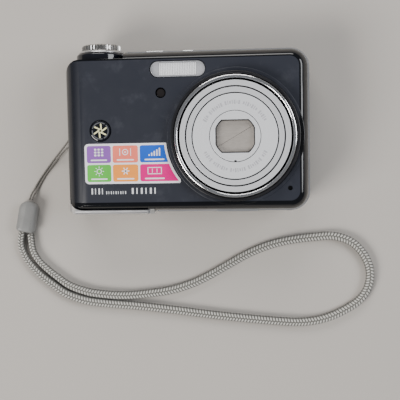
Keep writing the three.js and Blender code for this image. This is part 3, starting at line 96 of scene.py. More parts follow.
class Wire:
    """One output socket of a shader graph. Arithmetic on it adds Math nodes."""

    def __init__(self, graph: "Graph", socket: bpy.types.NodeSocket) -> None:
        """Keeps the socket and the graph that it belongs to."""
        self.graph = graph
        self.socket = socket

    def math(self, operation: str, *values: Union["Wire", float]) -> "Wire":
        """Adds one Math node that works on this wire.

        Args:
            operation: the Math node's operation.
            values: its other inputs, in order.

        Returns:
            The node's result.
        """
        inputs = {0: self, **{i + 1: value for i, value in enumerate(values)}}
        return self.graph.add("ShaderNodeMath", {"operation": operation}, inputs)

    def reflected(self, operation: str, value: float) -> "Wire":
        """A Math node whose first input is a number and whose second is this wire."""
        return self.graph.add("ShaderNodeMath", {"operation": operation}, {0: value, 1: self})

    def __add__(self, other: Union["Wire", float]) -> "Wire":
        """The sum of two values."""
        return self.math("ADD", other)

    def __radd__(self, other: float) -> "Wire":
        """The sum of a number and a value."""
        return self.reflected("ADD", other)

    def __sub__(self, other: Union["Wire", float]) -> "Wire":
        """The difference of two values."""
        return self.math("SUBTRACT", other)

    def __rsub__(self, other: float) -> "Wire":
        """A number less a value."""
        return self.reflected("SUBTRACT", other)

    def __mul__(self, other: Union["Wire", float]) -> "Wire":
        """The product of two values."""
        return self.math("MULTIPLY", other)

    def __rmul__(self, other: float) -> "Wire":
        """The product of a number and a value."""
        return self.reflected("MULTIPLY", other)

    def __truediv__(self, other: Union["Wire", float]) -> "Wire":
        """The quotient of two values."""
        return self.math("DIVIDE", other)

    def step(self, low: float, high: float) -> "Wire":
        """Rises smoothly from 0 at low to 1 at high, or falls if high is the lower one."""
        names = {"Value": self, "From Min": low, "From Max": high}
        return self.graph.add("ShaderNodeMapRange", {"interpolation_type": "SMOOTHSTEP"}, names)


class Graph:
    """The node graph of one material, around one Principled shader."""

    def __init__(self, name: str) -> None:
        """Starts a material of that name."""
        self.material = bpy.data.materials.new(name)
        self.material.use_nodes = True
        self.tree = self.material.node_tree
        self.shader = self.tree.nodes["Principled BSDF"]

    def add(self, kind: str, settings: dict, inputs: dict, output: Union[str, int] = 0) -> Wire:
        """Adds one node.

        Args:
            kind: the node's type.
            settings: its own settings, or a ramp's stops.
            inputs: values or wires by socket name or number.
            output: the socket that is handed back.

        Returns:
            The chosen output.
        """
        node = self.tree.nodes.new(kind)
        for name, value in settings.items():
            setattr(node, name, value)
        for name, value in inputs.items():
            if isinstance(value, Wire):
                self.tree.links.new(value.socket, node.inputs[name])
            else:
                node.inputs[name].default_value = value
        return Wire(self, node.outputs[output])

    def feed(self, **values: Union[Wire, float, tuple]) -> None:
        """Sets the shader's sockets. An underscore in a name stands for a space."""
        for name, value in values.items():
            socket = self.shader.inputs[name.replace("_", " ")]
            if isinstance(value, Wire):
                self.tree.links.new(value.socket, socket)
            else:
                socket.default_value = (*value, 1.0) if isinstance(value, tuple) else value

    def place(self) -> Wire:
        """The point on the surface, in millimetres."""
        found = self.add("ShaderNodeTexCoord", {}, {}, "Object")
        inputs = {0: found, "Scale": 1 / MM}
        return self.add("ShaderNodeVectorMath", {"operation": "SCALE"}, inputs)

    def weave(self) -> tuple[Wire, Wire]:
        """How far along and across a cord the point is, from the cord's own map."""
        found = self.add("ShaderNodeUVMap", {"uv_map": "Weave"}, {})
        along, across, _ = self.split(found)
        return along, across

    def split(self, vector: Wire) -> tuple[Wire, Wire, Wire]:
        """The three parts of a vector."""
        first = self.add("ShaderNodeSeparateXYZ", {}, {0: vector})
        sockets = first.socket.node.outputs
        return first, Wire(self, sockets[1]), Wire(self, sockets[2])

    def joined(self, x: Union[Wire, float], y: Union[Wire, float], z: Union[Wire, float]) -> Wire:
        """A vector of three parts."""
        return self.add("ShaderNodeCombineXYZ", {}, {0: x, 1: y, 2: z})

    def noise(self, vector: Wire, scale: float, detail: float = 2.0, rough: float = 0.5) -> Wire:
        """Noise from 0 to 1. A scale of 1 has lumps about a millimetre across."""
        inputs = {"Vector": vector, "Scale": scale, "Detail": detail, "Roughness": rough}
        return self.add("ShaderNodeTexNoise", {}, inputs)

    def stretched(self, vector: Wire, scale: Sequence[float]) -> Wire:
        """The vector with each part scaled by itself."""
        inputs = {0: vector, 1: tuple(scale)}
        return self.add("ShaderNodeVectorMath", {"operation": "MULTIPLY"}, inputs)

    def mix(self, factor: Wire, first: Union[Wire, Colour], second: Union[Wire, Colour]) -> Wire:
        """A colour between two others.

        Args:
            factor: 0 for the first colour and 1 for the second.
            first: a colour.
            second: the other colour.

        Returns:
            The mixed colour.
        """
        ends = [c if isinstance(c, Wire) else (*c, 1.0) for c in (first, second)]
        inputs = {0: factor, 6: ends[0], 7: ends[1]}
        return self.add("ShaderNodeMix", {"data_type": "RGBA"}, inputs, 2)

    def bump(self, height: Wire, depth_mm: float) -> None:
        """Roughens the surface by a height from 0 to 1 that stands for so many millimetres."""
        inputs = {"Height": height, "Strength": 1.0, "Distance": depth_mm * MM}
        self.feed(Normal=self.add("ShaderNodeBump", {}, inputs))


# ---------------------------------------------------------------- finishes


@dataclass(frozen=True)
class Finish(ABC):
    """A surface finish, which is one material, with the name of a material slot."""

    name: str
    slot: str

    def material(self) -> bpy.types.Material:
        """The material, made once."""
        known = bpy.data.materials.get(self.name)
        if known:
            return known
        graph = Graph(self.name)
        self.paint(graph)
        return graph.material

    @abstractmethod
    def paint(self, graph: Graph) -> None:
        """Builds the nodes."""


@dataclass(frozen=True)
class Moulded(Finish):
    """Moulded plastic or rubber, with its texture, slight handling marks and a worn tint."""

    colour: Colour
    roughness: float = 0.4
    grain: float = 6.0
    depth_mm: float = 0.01
    coat: float = 0.0
    marks: float = 0.35

    def paint(self, graph: Graph) -> None:
        """Grain in the surface, and blotches in the colour and the gloss."""
        place = graph.place()
        blotch = graph.noise(place, 0.12, 4.0, 0.6)
        grain = graph.noise(place, self.grain, 2.0)
        pale = tuple(min(1.0, c * (1 + self.marks) + 0.004) for c in self.colour)
        graph.feed(
            Base_Color=graph.mix(blotch.step(0.3, 0.8), self.colour, pale),
            Roughness=self.roughness * (0.85 + 0.3 * blotch),
            Coat_Weight=self.coat,
            Coat_Roughness=0.04,
        )
        graph.bump(grain, self.depth_mm)


@dataclass(frozen=True)
class NavyFront(Finish):
    """The front cover: a matte navy field inside a gloss black edge, with handling marks and painted
    shade across the rolled left side.
    """

    field_right: float
    field_bottom: float
    field_top: float
    field_colour: Colour = (0.0135, 0.016, 0.026)
    worn_colour: Colour = (0.075, 0.080, 0.095)
    edge_colour: Colour = (0.0012, 0.0015, 0.003)
    corner: float = 3.6
    roll_shade_left: float = -46.0
    roll_shade_right: float = -37.5

    def field(self, x: Wire, y: Wire, z: Wire) -> Wire:
        """1 inside the rounded rectangle of the matte field, and 0 outside it."""
        middle = (self.field_top + self.field_bottom) / 2
        half = (self.field_top - self.field_bottom) / 2 - self.corner
        over_x = (x - (self.field_right - self.corner)).math("MAXIMUM", 0.0)
        over_y = ((y - middle).math("ABSOLUTE") - half).math("MAXIMUM", 0.0)
        reach = (over_x * over_x + over_y * over_y).math("SQRT")
        return reach.step(self.corner + 0.15, self.corner - 0.15) * z.step(14.5, 15.5)

    def paint(self, graph: Graph) -> None:
        """A mask for the field, faded towards the black edge across the rolled left side as painted
        shade, and smudges and scuffs on it.
        """
        place = graph.place()
        x, y, z = graph.split(place)
        # Painted shade: the field fades towards the black edge across the rolled left side, where the
        # roll turns away from the light; the roll also takes on the edge's gloss.
        inside = self.field(x, y, z) * (0.25 + 0.75 * x.step(self.roll_shade_left, self.roll_shade_right))
        smudge = graph.noise(place, 0.14, 5.0, 0.65).step(0.52, 0.8)
        scuff = graph.noise(graph.stretched(place, (0.5, 0.14, 1.0)), 1.1, 6.0, 0.7).step(0.62, 0.8)
        worn = (smudge * 0.30 + scuff * 0.35) * inside
        toned = graph.mix(worn, self.field_colour, self.worn_colour)
        gloss = 0.07 + 0.05 * graph.noise(place, 0.3, 3.0)
        matte = 0.42 + 0.10 * graph.noise(place, 0.2, 4.0)
        graph.feed(
            Base_Color=graph.mix(inside, self.edge_colour, toned),
            Roughness=gloss * (1.0 - inside) + matte * inside,
        )
        graph.bump(graph.noise(place, 5.0, 2.0) * inside, 0.006)


@dataclass(frozen=True)
class Metal(Finish):
    """Metal that is painted, plated or brushed."""

    colour: Colour
    roughness: float
    brush: tuple[float, float, float] = (3.0, 3.0, 3.0)
    depth_mm: float = 0.002
    tint: float = 0.12
    metallic: float = 1.0

    def paint(self, graph: Graph) -> None:
        """Fine lines along the brushing, and clouds in the gloss."""
        place = graph.place()
        lines = graph.noise(graph.stretched(place, self.brush), 1.0, 3.0, 0.6)
        cloud = graph.noise(place, 0.15, 3.0)
        dull = tuple(c * (1 - self.tint) for c in self.colour)
        graph.feed(
            Base_Color=graph.mix(lines, dull, self.colour),
            Roughness=self.roughness * (0.7 + 0.35 * lines + 0.25 * cloud),
            Metallic=self.metallic,
        )
        graph.bump(lines, self.depth_mm)


@dataclass(frozen=True)
class Lathed(Finish):
    """Metal with the fine rings that turning leaves, around an upright axis."""

    colour: Colour
    centre: tuple[float, float]
    roughness: float = 0.3
    rings_per_mm: float = 9.0
    metallic: float = 1.0

    def paint(self, graph: Graph) -> None:
        """Rings by the distance from the axis, broken up a little around it."""
        place = graph.place()
        x, y, z = graph.split(place)
        dx, dy = x - self.centre[0], y - self.centre[1]
        distance = (dx * dx + dy * dy).math("SQRT")
        drift = graph.noise(place, 0.25, 2.0)
        line = graph.noise(graph.joined(distance * self.rings_per_mm, drift, z), 1.0, 3.0)
        dull = tuple(0.86 * c for c in self.colour)
        graph.feed(
            Base_Color=graph.mix(line, dull, self.colour),
            Roughness=self.roughness * (0.75 + 0.5 * line),
            Metallic=self.metallic,
        )
        graph.bump(line, 0.0025)


@dataclass(frozen=True)
class Clear(Finish):
    """Clear plastic or glass, seen through its surface."""

    colour: Colour = (0.93, 0.95, 0.97)
    opacity: float = 0.22
    roughness: float = 0.05

    def paint(self, graph: Graph) -> None:
        """A faint haze that is thicker in places."""
        haze = graph.noise(graph.place(), 0.4, 3.0)
        cloudy = tuple(0.9 * c for c in self.colour)
        graph.feed(
            Base_Color=graph.mix(haze, cloudy, self.colour),
            Roughness=self.roughness * (0.7 + 0.6 * haze),
            Alpha=self.opacity * (0.8 + 0.4 * haze),
            IOR=1.49,
        )


@dataclass(frozen=True)
class CircuitBoard(Finish):
    """A lacquered board with tracks and pads."""

    def paint(self, graph: Graph) -> None:
        """Tracks as a brick pattern of fine lines under green lacquer."""
        place = graph.place()
        settings = {"offset": 0.5}
        inputs = {"Vector": place, "Scale": 0.35, "Mortar Size": 0.05}
        tracks = graph.add("ShaderNodeTexBrick", settings, inputs, "Fac")
        graph.feed(
            Base_Color=graph.mix(tracks, (0.012, 0.09, 0.03), (0.05, 0.22, 0.08)),
            Roughness=0.3 + 0.2 * graph.noise(place, 2.0),
        )
        graph.bump(tracks, 0.03)


@dataclass(frozen=True)
class Knit(Finish):
    """The flat knit of the strap: pale ribs in the middle, dark along both edges."""

    pitch: float
    pale: Colour = (0.58, 0.565, 0.53)
    grey: Colour = (0.20, 0.195, 0.175)
    dark: Colour = (0.045, 0.044, 0.038)

    def paint(self, graph: Graph) -> None:
        """Two rows of slanted ribs with painted shade in the gaps between the ribs, a dark seam
        between the rows and dark edges.
        """
        along, across = graph.weave()
        reach = across.math("ABSOLUTE")
        lean = reach * 0.5 + across.step(-0.05, 0.05) * 0.5
        wave = ((along / self.pitch + lean) * (2 * math.pi)).math("SINE") * 0.5 + 0.5
        row = reach.step(0.03, 0.26) * reach.step(0.92, 0.62)
        fibre = graph.noise(graph.joined(along * 2.0, across * 9.0, 0.0), 2.4, 3.0, 0.7)
        body = graph.mix(wave.step(0.28, 0.85) * row, self.grey, self.pale)
        # Painted shade: the gaps between the raised ribs are darkened towards the dark colour.
        rib_gap_shade = graph.mix(wave.step(0.30, 0.02) * 0.75, body, self.dark)
        seam = reach.step(0.14, 0.0) * 0.6
        edge = reach.step(0.80, 0.98) * 0.8
        outline = graph.mix(seam + edge, rib_gap_shade, self.dark)
        graph.feed(
            Base_Color=graph.mix(fibre.step(0.6, 0.9) * 0.3, outline, self.dark),
            Roughness=0.78 + 0.15 * fibre,
            Sheen_Weight=0.25,
        )
        graph.bump(fibre, 0.08)


@dataclass(frozen=True)
class Twine(Finish):
    """The thin cord: twisted grey-brown threads."""

    pitch: float
    colour: Colour = (0.20, 0.185, 0.165)

    def paint(self, graph: Graph) -> None:
        """Slanted threads around the cord."""
        along, across = graph.weave()
        twist = ((along / self.pitch + across) * (2 * math.pi)).math("SINE") * 0.5 + 0.5
        fuzz = graph.noise(graph.joined(along, across * 3.0, 0.0), 6.0, 3.0)
        deep = tuple(0.4 * c for c in self.colour)
        graph.feed(
            Base_Color=graph.mix(twist * 0.8 + fuzz * 0.2, deep, self.colour),
            Roughness=0.8 + 0.1 * fuzz,
            Sheen_Weight=0.2,
        )
        graph.bump(twist, 0.04)


@dataclass(frozen=True)
class Tabletop(Finish):
    """The plain pale surface that the camera lies on."""

    colour: Colour = (0.47, 0.44, 0.405)

    def paint(self, graph: Graph) -> None:
        """A very fine, even texture."""
        place = graph.place()
        fine = graph.noise(place, 1.2, 3.0)
        wide = graph.noise(place, 0.01, 2.0)
        deep = tuple(0.95 * c for c in self.colour)
        graph.feed(
            Base_Color=graph.mix(0.5 * fine + 0.5 * wide, deep, self.colour),
            Roughness=0.7 + 0.1 * fine,
        )


# ---------------------------------------------------------------- shapes


class Cut(Enum):
    """How one shape is put together with another."""

    MINUS = "DIFFERENCE"
    PLUS = "UNION"
    COMMON = "INTERSECT"


class Form:
    """A closed shape in millimetres, built with mesh operators."""

    def __init__(self, bm: bmesh.types.BMesh) -> None:
        """Keeps the mesh that the shape is made of."""
        self.bm = bm

    @classmethod
    def plate(
        cls, x: Span, y: Span, z: Span, corners: Union[float, Sequence[float]] = 0.0,
        steps: int = 10,
    ) -> "Form":
        """An upright prism over a rectangle with rounded corners.

        Args:
            x: its left and right.
            y: its bottom and top.
            z: its lower and upper face.
            corners: one radius, or four, from the bottom left anticlockwise.
            steps: how many flats each corner has.

        Returns:
            The prism.
        """
        bm = bmesh.new()
        spots = [(x[0], y[0]), (x[1], y[0]), (x[1], y[1]), (x[0], y[1])]
        bm.faces.new([bm.verts.new((*spot, z[0])) for spot in spots])
        radii = [corners] * 4 if isinstance(corners, (int, float)) else corners
        for spot, radius in zip(spots, radii):
            if radius > 0:
                corner = min(bm.verts, key=lambda v: (v.co.xy - Vector(spot)).length)
                bmesh.ops.bevel(
                    bm, geom=[corner], offset=radius, offset_type="OFFSET", affect="VERTICES",
                    segments=steps, profile=0.5, material=-1,
                )
        return cls(bm).drawn_out(z[1] - z[0])

    @classmethod
    def disc(cls, centre: tuple[float, float], radius: float, z: Span, steps: int = 64) -> "Form":
        """An upright round prism."""
        bm = bmesh.new()
        bmesh.ops.create_circle(bm, cap_ends=True, radius=radius, segments=steps)
        bmesh.ops.translate(bm, verts=bm.verts, vec=(*centre, z[0]))
        return cls(bm).drawn_out(z[1] - z[0])

    @classmethod
    def slot(cls, centre: tuple[float, float], size: tuple[float, float], z: Span) -> "Form":
        """An upright prism over a long hole with round ends."""
        half_x, half_y = size[0] / 2, size[1] / 2
        x = (centre[0] - half_x, centre[0] + half_x)
        y = (centre[1] - half_y, centre[1] + half_y)
        return cls.plate(x, y, z, min(half_x, half_y) * 0.998, 14)

    @classmethod
    def turned(
        cls, profile: Sequence[tuple[float, float]], centre: tuple[float, float], steps: int = 128
    ) -> "Form":
        """A profile of radius and height, turned about an upright axis.

        Args:
            profile: its points. It closes on itself unless both ends are on the axis.
            centre: where the axis stands.
            steps: how many flats go round.

        Returns:
            The turned shape.
        """
        bm = bmesh.new()
        points = [bm.verts.new((radius, 0.0, height)) for radius, height in profile]
        for first, second in zip(points, points[1:]):
            bm.edges.new((first, second))
        if profile[0][0] > 0 or profile[-1][0] > 0:
            bm.edges.new((points[-1], points[0]))
        bmesh.ops.spin(
            bm, geom=bm.verts[:] + bm.edges[:], cent=(0, 0, 0), axis=(0, 0, 1), dvec=(0, 0, 0),
            angle=2 * math.pi, steps=steps, use_merge=True, use_duplicate=False,
        )
        bmesh.ops.translate(bm, verts=bm.verts, vec=(*centre, 0.0))
        return cls(bm).cleaned()

    @classmethod
    def gathered(cls, forms: Iterable["Form"]) -> "Form":
        """Several separate shapes as one."""
        bm = bmesh.new()
        for form in forms:
            mesh = form.as_mesh("gathered")
            bm.from_mesh(mesh)
            bpy.data.meshes.remove(mesh)
        return cls(bm)

    def drawn_out(self, height: float) -> "Form":
        """Draws a flat face out along Z into a prism."""
        made = bmesh.ops.extrude_face_region(self.bm, geom=self.bm.faces[:])["geom"]
        moved = [item for item in made if isinstance(item, bmesh.types.BMVert)]
        bmesh.ops.translate(self.bm, verts=moved, vec=(0.0, 0.0, height))
        return self.cleaned()

    def cleaned(self) -> "Form":
        """Joins doubled points and turns the faces outwards."""
        bmesh.ops.remove_doubles(self.bm, verts=self.bm.verts, dist=SAME_PLACE / 10)
        bmesh.ops.recalc_face_normals(self.bm, faces=self.bm.faces)
        return self

    def bevelled(
        self, width: float, segments: int, chosen: Callable[[bmesh.types.BMEdge], bool]
    ) -> "Form":
        """Rounds the edges that a test picks.

        Args:
            width: how far the rounding reaches.
            segments: how many flats it has.
            chosen: says which edges are rounded.

        Returns:
            This shape.
        """
        edges = [edge for edge in self.bm.edges if chosen(edge)]
        bmesh.ops.bevel(
            self.bm, geom=edges, offset=width, offset_type="OFFSET", affect="EDGES",
            segments=segments, profile=0.5, material=-1, clamp_overlap=False,
        )
        return self

    def rounded_at(self, z: float, width: float, segments: int = 3) -> "Form":
        """Rounds every edge that lies at one height."""
        return self.bevelled(
            width, segments, lambda edge: all(abs(v.co.z - z) < SAME_PLACE for v in edge.verts)
        )

    def scaled(self, factors: Sequence[float], about: Sequence[float] = (0, 0, 0)) -> "Form":
        """Scales each direction by itself about a point."""
        space = Matrix.Translation(-Vector(about))
        bmesh.ops.scale(self.bm, verts=self.bm.verts, vec=tuple(factors), space=space)
        if factors[0] * factors[1] * factors[2] < 0:
            bmesh.ops.recalc_face_normals(self.bm, faces=self.bm.faces)
        return self

    def moved(self, x: float, y: float, z: float) -> "Form":
        """Moves the shape."""
        bmesh.ops.translate(self.bm, verts=self.bm.verts, vec=(x, y, z))
        return self

    def spun(self, degrees: float, about: tuple[float, float] = (0.0, 0.0)) -> "Form":
        """Turns the shape about an upright axis."""
        turn = Matrix.Rotation(math.radians(degrees), 3, "Z")
        bmesh.ops.rotate(self.bm, verts=self.bm.verts, cent=(*about, 0.0), matrix=turn)
        return self

    def facing_y(self, x: float, z: float) -> "Form":
        """Lays an upright shape down so that its height runs along Y, about a point in X and Z."""
        turn = Matrix.Rotation(math.radians(-90), 3, "X")
        bmesh.ops.rotate(self.bm, verts=self.bm.verts, cent=(0, 0, 0), matrix=turn)
        return self.moved(x, 0.0, z)

    def as_mesh(self, name: str) -> bpy.types.Mesh:
        """Writes the shape to a mesh and frees it."""
        mesh = bpy.data.meshes.new(name)
        self.bm.to_mesh(mesh)
        self.bm.free()
        return mesh

    def combined(self, other: "Form", how: Cut) -> "Form":
        """Puts this shape together with another, which is used up.

        Args:
            other: the second shape.
            how: whether it is cut away, added or kept in common.

        Returns:
            This shape.
        """
        objects = [linked("blank", form.as_mesh("blank")) for form in (self, other)]
        modifier = objects[0].modifiers.new("cut", "BOOLEAN")
        modifier.operation = how.value
        modifier.object = objects[1]
        modifier.solver = "EXACT"
        evaluated = objects[0].evaluated_get(bpy.context.evaluated_depsgraph_get())
        result = bpy.data.meshes.new_from_object(evaluated)
        self.bm = bmesh.new()
        self.bm.from_mesh(result)
        bpy.data.meshes.remove(result)
        for item in objects:
            bpy.data.meshes.remove(item.data)
        return self

    def minus(self, *others: "Form") -> "Form":
        """Cuts other shapes away."""
        for other in others:
            self.combined(other, Cut.MINUS)
        return self

    def plus(self, other: "Form") -> "Form":
        """Adds another shape."""
        return self.combined(other, Cut.PLUS)

    def common(self, other: "Form") -> "Form":
        """Keeps what is inside both shapes."""
        return self.combined(other, Cut.COMMON)


@dataclass
class Box:
    """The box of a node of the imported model, in millimetres."""

    x: Span
    y: Span
    z: Span

    @classmethod
    def of(cls, node: str) -> "Box":
        """The box of that node."""
        low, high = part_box(node)
        return cls(*[(low[i] / MM, high[i] / MM) for i in range(3)])

    @property
    def middle(self) -> Vector:
        """The box's centre."""
        return Vector([(span[0] + span[1]) / 2 for span in (self.x, self.y, self.z)])

    @property
    def size(self) -> tuple[float, float, float]:
        """The box's width, length and height."""
        return tuple(span[1] - span[0] for span in (self.x, self.y, self.z))

    @property
    def radius(self) -> float:
        """The radius of a round part that the box is about."""
        return (self.x[1] - self.x[0]) / 2


@dataclass
class Bench:
    """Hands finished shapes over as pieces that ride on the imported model's bodies."""

    made: list[str] = field(default_factory=list)

    def body_of(self, node: str) -> str:
        """The body that a node belongs to."""
        bodies = frame["record"]["behaviour"]["bodies"]
        return next(name for name, nodes in bodies.items() if node in nodes)

    def piece(
        self, name: str, form: Form, finish: Finish, rides_with: str,
        stands_for: Sequence[str] = (), crease: float = 32.0,
    ) -> bpy.types.Object:
        """Makes one piece.

        Args:
            name: the piece's name.
            form: its shape in millimetres.
            finish: its surface.
            rides_with: a node on the body that the piece moves with.
            stands_for: the nodes that it replaces.
            crease: the angle past which an edge stays sharp, in degrees.

        Returns:
            The piece.
        """
        form.scaled((MM, MM, MM))
        mesh = form.as_mesh(name)
        mesh.shade_smooth()
        mesh.set_sharp_from_angle(angle=math.radians(crease))
        item = linked(name, mesh)
        weighted = item.modifiers.new("even shading", "WEIGHTED_NORMAL")
        weighted.keep_sharp = True
        return self.hand_over(item, finish, rides_with, stands_for)

    def hand_over(
        self, item: bpy.types.Object, finish: Finish, rides_with: str, stands_for: Sequence[str]
    ) -> bpy.types.Object:
        """Gives an object its finish, its body and the nodes that it replaces."""
        item.data.materials.append(finish.material())
        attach(item, self.body_of(rides_with))
        if stands_for:
            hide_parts(*stands_for)
        self.made.append(item.name)
        faces = len(item.data.polygons)
        log.info("%s: %d faces, rides on %s", item.name, faces, self.body_of(rides_with))
        return item

    def carried_over(self, finish: Finish, *nodes: str) -> None:
        """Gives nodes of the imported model, whose shape is already right, their finish."""
        for node in nodes:
            item = frame["nodes"][node]
            if not item.material_slots:
                item.data.materials.append(None)
            for slot in item.material_slots:
                slot.link = "OBJECT"
                slot.material = finish.material()
            log.info("%s: carried over", node)


# ---------------------------------------------------------------- finishes of this camera

NAVY_FRONT = NavyFront("navy_front", "navy_gloss", 43.3, -28.25, 25.95)
GLOSS_BLACK = Moulded("gloss_black", "navy_gloss", (0.002, 0.0025, 0.006), 0.08, 2.0, 0.001, 0.1)
BLACK_SATIN = Moulded("black_satin", "black_plastic", (0.012, 0.012, 0.014), 0.38, 7.0, 0.012)
COLLAR_BLACK = Moulded("collar_black", "black_plastic", (0.005, 0.005, 0.007), 0.34, 6.0, 0.008)
RUBBER = Moulded("rubber", "rubber", (0.02, 0.02, 0.02), 0.8, 5.0, 0.02)
FERRULE_GREY = Moulded(
    "ferrule_grey", "ferrule_plastic", (0.20, 0.20, 0.195), 0.42, 4.0, 0.012, marks=0.2
)
FLASH_FRAME = Moulded("flash_frame", "mirror", (0.30, 0.30, 0.33), 0.25, 3.0, 0.004, 0.5, 0.15)
FLASH_RIBS = Moulded("flash_ribs", "mirror", (0.93, 0.93, 0.95), 0.18, 3.0, 0.004, 0.6, 0.05)
CELL_JACKET = Moulded("cell_jacket", "cell_jacket", (0.05, 0.06, 0.08), 0.25, 1.0, 0.002, 0.6)
CARD_BLUE = Moulded("card_case", "black_plastic", (0.02, 0.025, 0.05), 0.4, 5.0, 0.01)
DARK_GLASS = Moulded("dark_glass", "dark_glass", (0.004, 0.004, 0.005), 0.05, 0.4, 0.001, 0.6, 0.6)
LAMP_GLASS = Moulded("lamp_glass", "dark_glass", (0.008, 0.006, 0.006), 0.12, 0.6, 0.001, 0.4)
LABEL_WHITE = Moulded(
    "label_white", "printed_label", (0.86, 0.84, 0.88), 0.35, 3.0, 0.003, marks=0.05
)
PRINT_GREY = Moulded("print_grey", "printed_label", (0.70, 0.71, 0.73), 0.4, 3.0, 0.002, marks=0.08)
MARK_GREY = Moulded("mark_grey", "printed_label", (0.42, 0.42, 0.45), 0.4, 3.0, 0.002, marks=0.08)
EMBLEM_YELLOW = Moulded("emblem_yellow", "chrome", (0.80, 0.78, 0.45), 0.35, 3.0, 0.003, marks=0.1)
BAND_SILVER = Metal("band_silver", "silver_paint", (0.93, 0.93, 0.94), 0.30, (0.2, 0.2, 6.0))
CAP_SILVER = Metal("cap_silver", "silver_paint", (0.60, 0.60, 0.61), 0.30, (5.0, 0.4, 5.0))
BUTTON_SILVER = Metal("button_silver", "silver_paint", (0.62, 0.63, 0.65), 0.26, (0.6, 6.0, 0.6))
CHROME = Metal("chrome", "chrome", (0.86, 0.86, 0.87), 0.09, (0.5, 0.5, 0.5), 0.001, 0.05)
DIAL_CHROME = Metal("dial_chrome", "chrome", (0.46, 0.45, 0.435), 0.26, (4.0, 0.6, 4.0), 0.003)
STEEL = Metal("steel", "steel", (0.55, 0.54, 0.52), 0.32, (0.5, 5.0, 5.0))
BLADE_STEEL = Metal(
    "blade_steel", "steel", (0.60, 0.55, 0.50), 0.34, (0.5, 2.2, 1.0), 0.012, 0.3, 0.5
)
MIRROR = Metal("mirror", "mirror", (0.95, 0.95, 0.96), 0.12, (0.5, 2.0, 2.0), 0.002, 0.04)
CLEAR = Clear("clear_plastic", "clear_glass", (0.93, 0.95, 0.97), 0.12)
LENS_GLASS = Clear("lens_glass", "clear_glass", (0.55, 0.60, 0.75), 0.35, 0.02)
BOARD = CircuitBoard("board", "circuit_board")


# ---------------------------------------------------------------- wrist strap


def route_through(points: Sequence[Vector], step: float) -> list[Vector]:
    """A smooth line through points, with its own points evenly apart.

    Args:
        points: what the line goes through.
        step: about how far apart the new points are.

    Returns:
        The new points, from the first given one to the last.
    """
    before = points[0] * 2 - points[1]
    after = points[-1] * 2 - points[-2]
    knots = [before, *points, after]
    fine: list[Vector] = []
    for a, b, c, d in zip(knots, knots[1:], knots[2:], knots[3:]):
        pieces = max(4, int((c - b).length / step * 3))
        fine.extend(centripetal(a, b, c, d, i / pieces) for i in range(pieces))
    fine.append(points[-1].copy())
    return evenly(fine, step)


def centripetal(a: Vector, b: Vector, c: Vector, d: Vector, share: float) -> Vector:
    """The point a share of the way from b to c on the smooth line through four points."""
    times = [0.0]
    for first, second in ((a, b), (b, c), (c, d)):
        times.append(times[-1] + math.sqrt((second - first).length))
    t = times[1] + (times[2] - times[1]) * share

    def between(p: Vector, q: Vector, start: float, end: float) -> Vector:
        """The point at time t on the line from p at start to q at end."""
        return p.lerp(q, (t - start) / (end - start))

    ab, bc, cd = (
        between(a, b, times[0], times[1]),
        between(b, c, times[1], times[2]),
        between(c, d, times[2], times[3]),
    )
    return between(
        between(ab, bc, times[0], times[2]), between(bc, cd, times[1], times[3]), times[1], times[2]
    )


def length_of(points: Sequence[Vector]) -> float:
    """The length of a line of points."""
    return sum((b - a).length for a, b in zip(points, points[1:]))


def evenly(points: Sequence[Vector], step: float) -> list[Vector]:
    """The same line with its points evenly apart."""
    total = length_of(points)
    count = max(2, round(total / step))
    wanted = [total * i / count for i in range(count + 1)]
    result, walked, i = [], 0.0, 0
    for distance in wanted:
        while i < len(points) - 2 and walked + (points[i + 1] - points[i]).length < distance:
            walked += (points[i + 1] - points[i]).length
            i += 1
        span = (points[i + 1] - points[i]).length or 1.0
        result.append(points[i].lerp(points[i + 1], min(1.0, (distance - walked) / span)))
    return result


@dataclass
class Cord:
    """A closed tube along a route, with a map of how far along and across each point is."""

    node: str
    name: str
    points: list[Vector]
    section: Callable[[float, float], tuple[float, float]]
    sides: int
    length: float
    diameter: float

    def hang(self, bench: "Bench", finish: Finish, every: int) -> None:
        """Makes the piece and logs its length along its middle.

        Args:
            bench: hands the piece over.
            finish: its surface.
            every: how many points make one step of a coarser path along the cord.
        """
        item = linked(self.name, self.build())
        bench.hand_over(item, finish, self.node, [self.node])
        log.info("%s: %.4f m along its middle", self.name, length_of(self.points) * MM)
        path = self.points if every == 1 else self.points[::every] + self.points[-1:]
        tuple(self.points[0] * MM)
        self.diameter * MM
        [tuple(p * MM) for p in path]

    def build(self) -> bpy.types.Mesh:
        """Sweeps the section along the route.

        Returns:
            The tube, in metres, with its map named Weave.
        """
        bm = bmesh.new()
        weave = bm.loops.layers.uv.new("Weave")
        rings, places = [], {}
        walked = 0.0
        for i, point in enumerate(self.points):
            ahead = self.points[min(i + 1, len(self.points) - 1)]
            behind = self.points[max(i - 1, 0)]
            if i:
                walked += (point - self.points[i - 1]).length
            along = (ahead - behind).normalized()
            side = along.cross(Vector((0, 0, 1))).normalized()
            up = side.cross(along)
            ring = []
            for k in range(self.sides):
                angle = 2 * math.pi * k / self.sides
                out, rise = self.section(walked, angle)
                vert = bm.verts.new((point + side * out + up * rise) * MM)
                places[vert] = (walked, angle)
                ring.append(vert)
            rings.append(ring)
        for first, second in zip(rings, rings[1:]):
            for k in range(self.sides):
                j = (k + 1) % self.sides
                bm.faces.new((first[k], first[j], second[j], second[k]))
        bm.faces.new(rings[0])
        bm.faces.new(reversed(rings[-1]))
        bmesh.ops.recalc_face_normals(bm, faces=bm.faces)
        for face in bm.faces:
            for loop in face.loops:
                walked, angle = places[loop.vert]
                loop[weave].uv = (walked, self.across(angle))
        mesh = bpy.data.meshes.new(self.name)
        bm.to_mesh(mesh)
        bm.free()
        mesh.shade_smooth()
        return mesh

    def across(self, angle: float) -> float:
        """How far across the cord a point is, from -1 to 1."""
        return math.cos(angle)


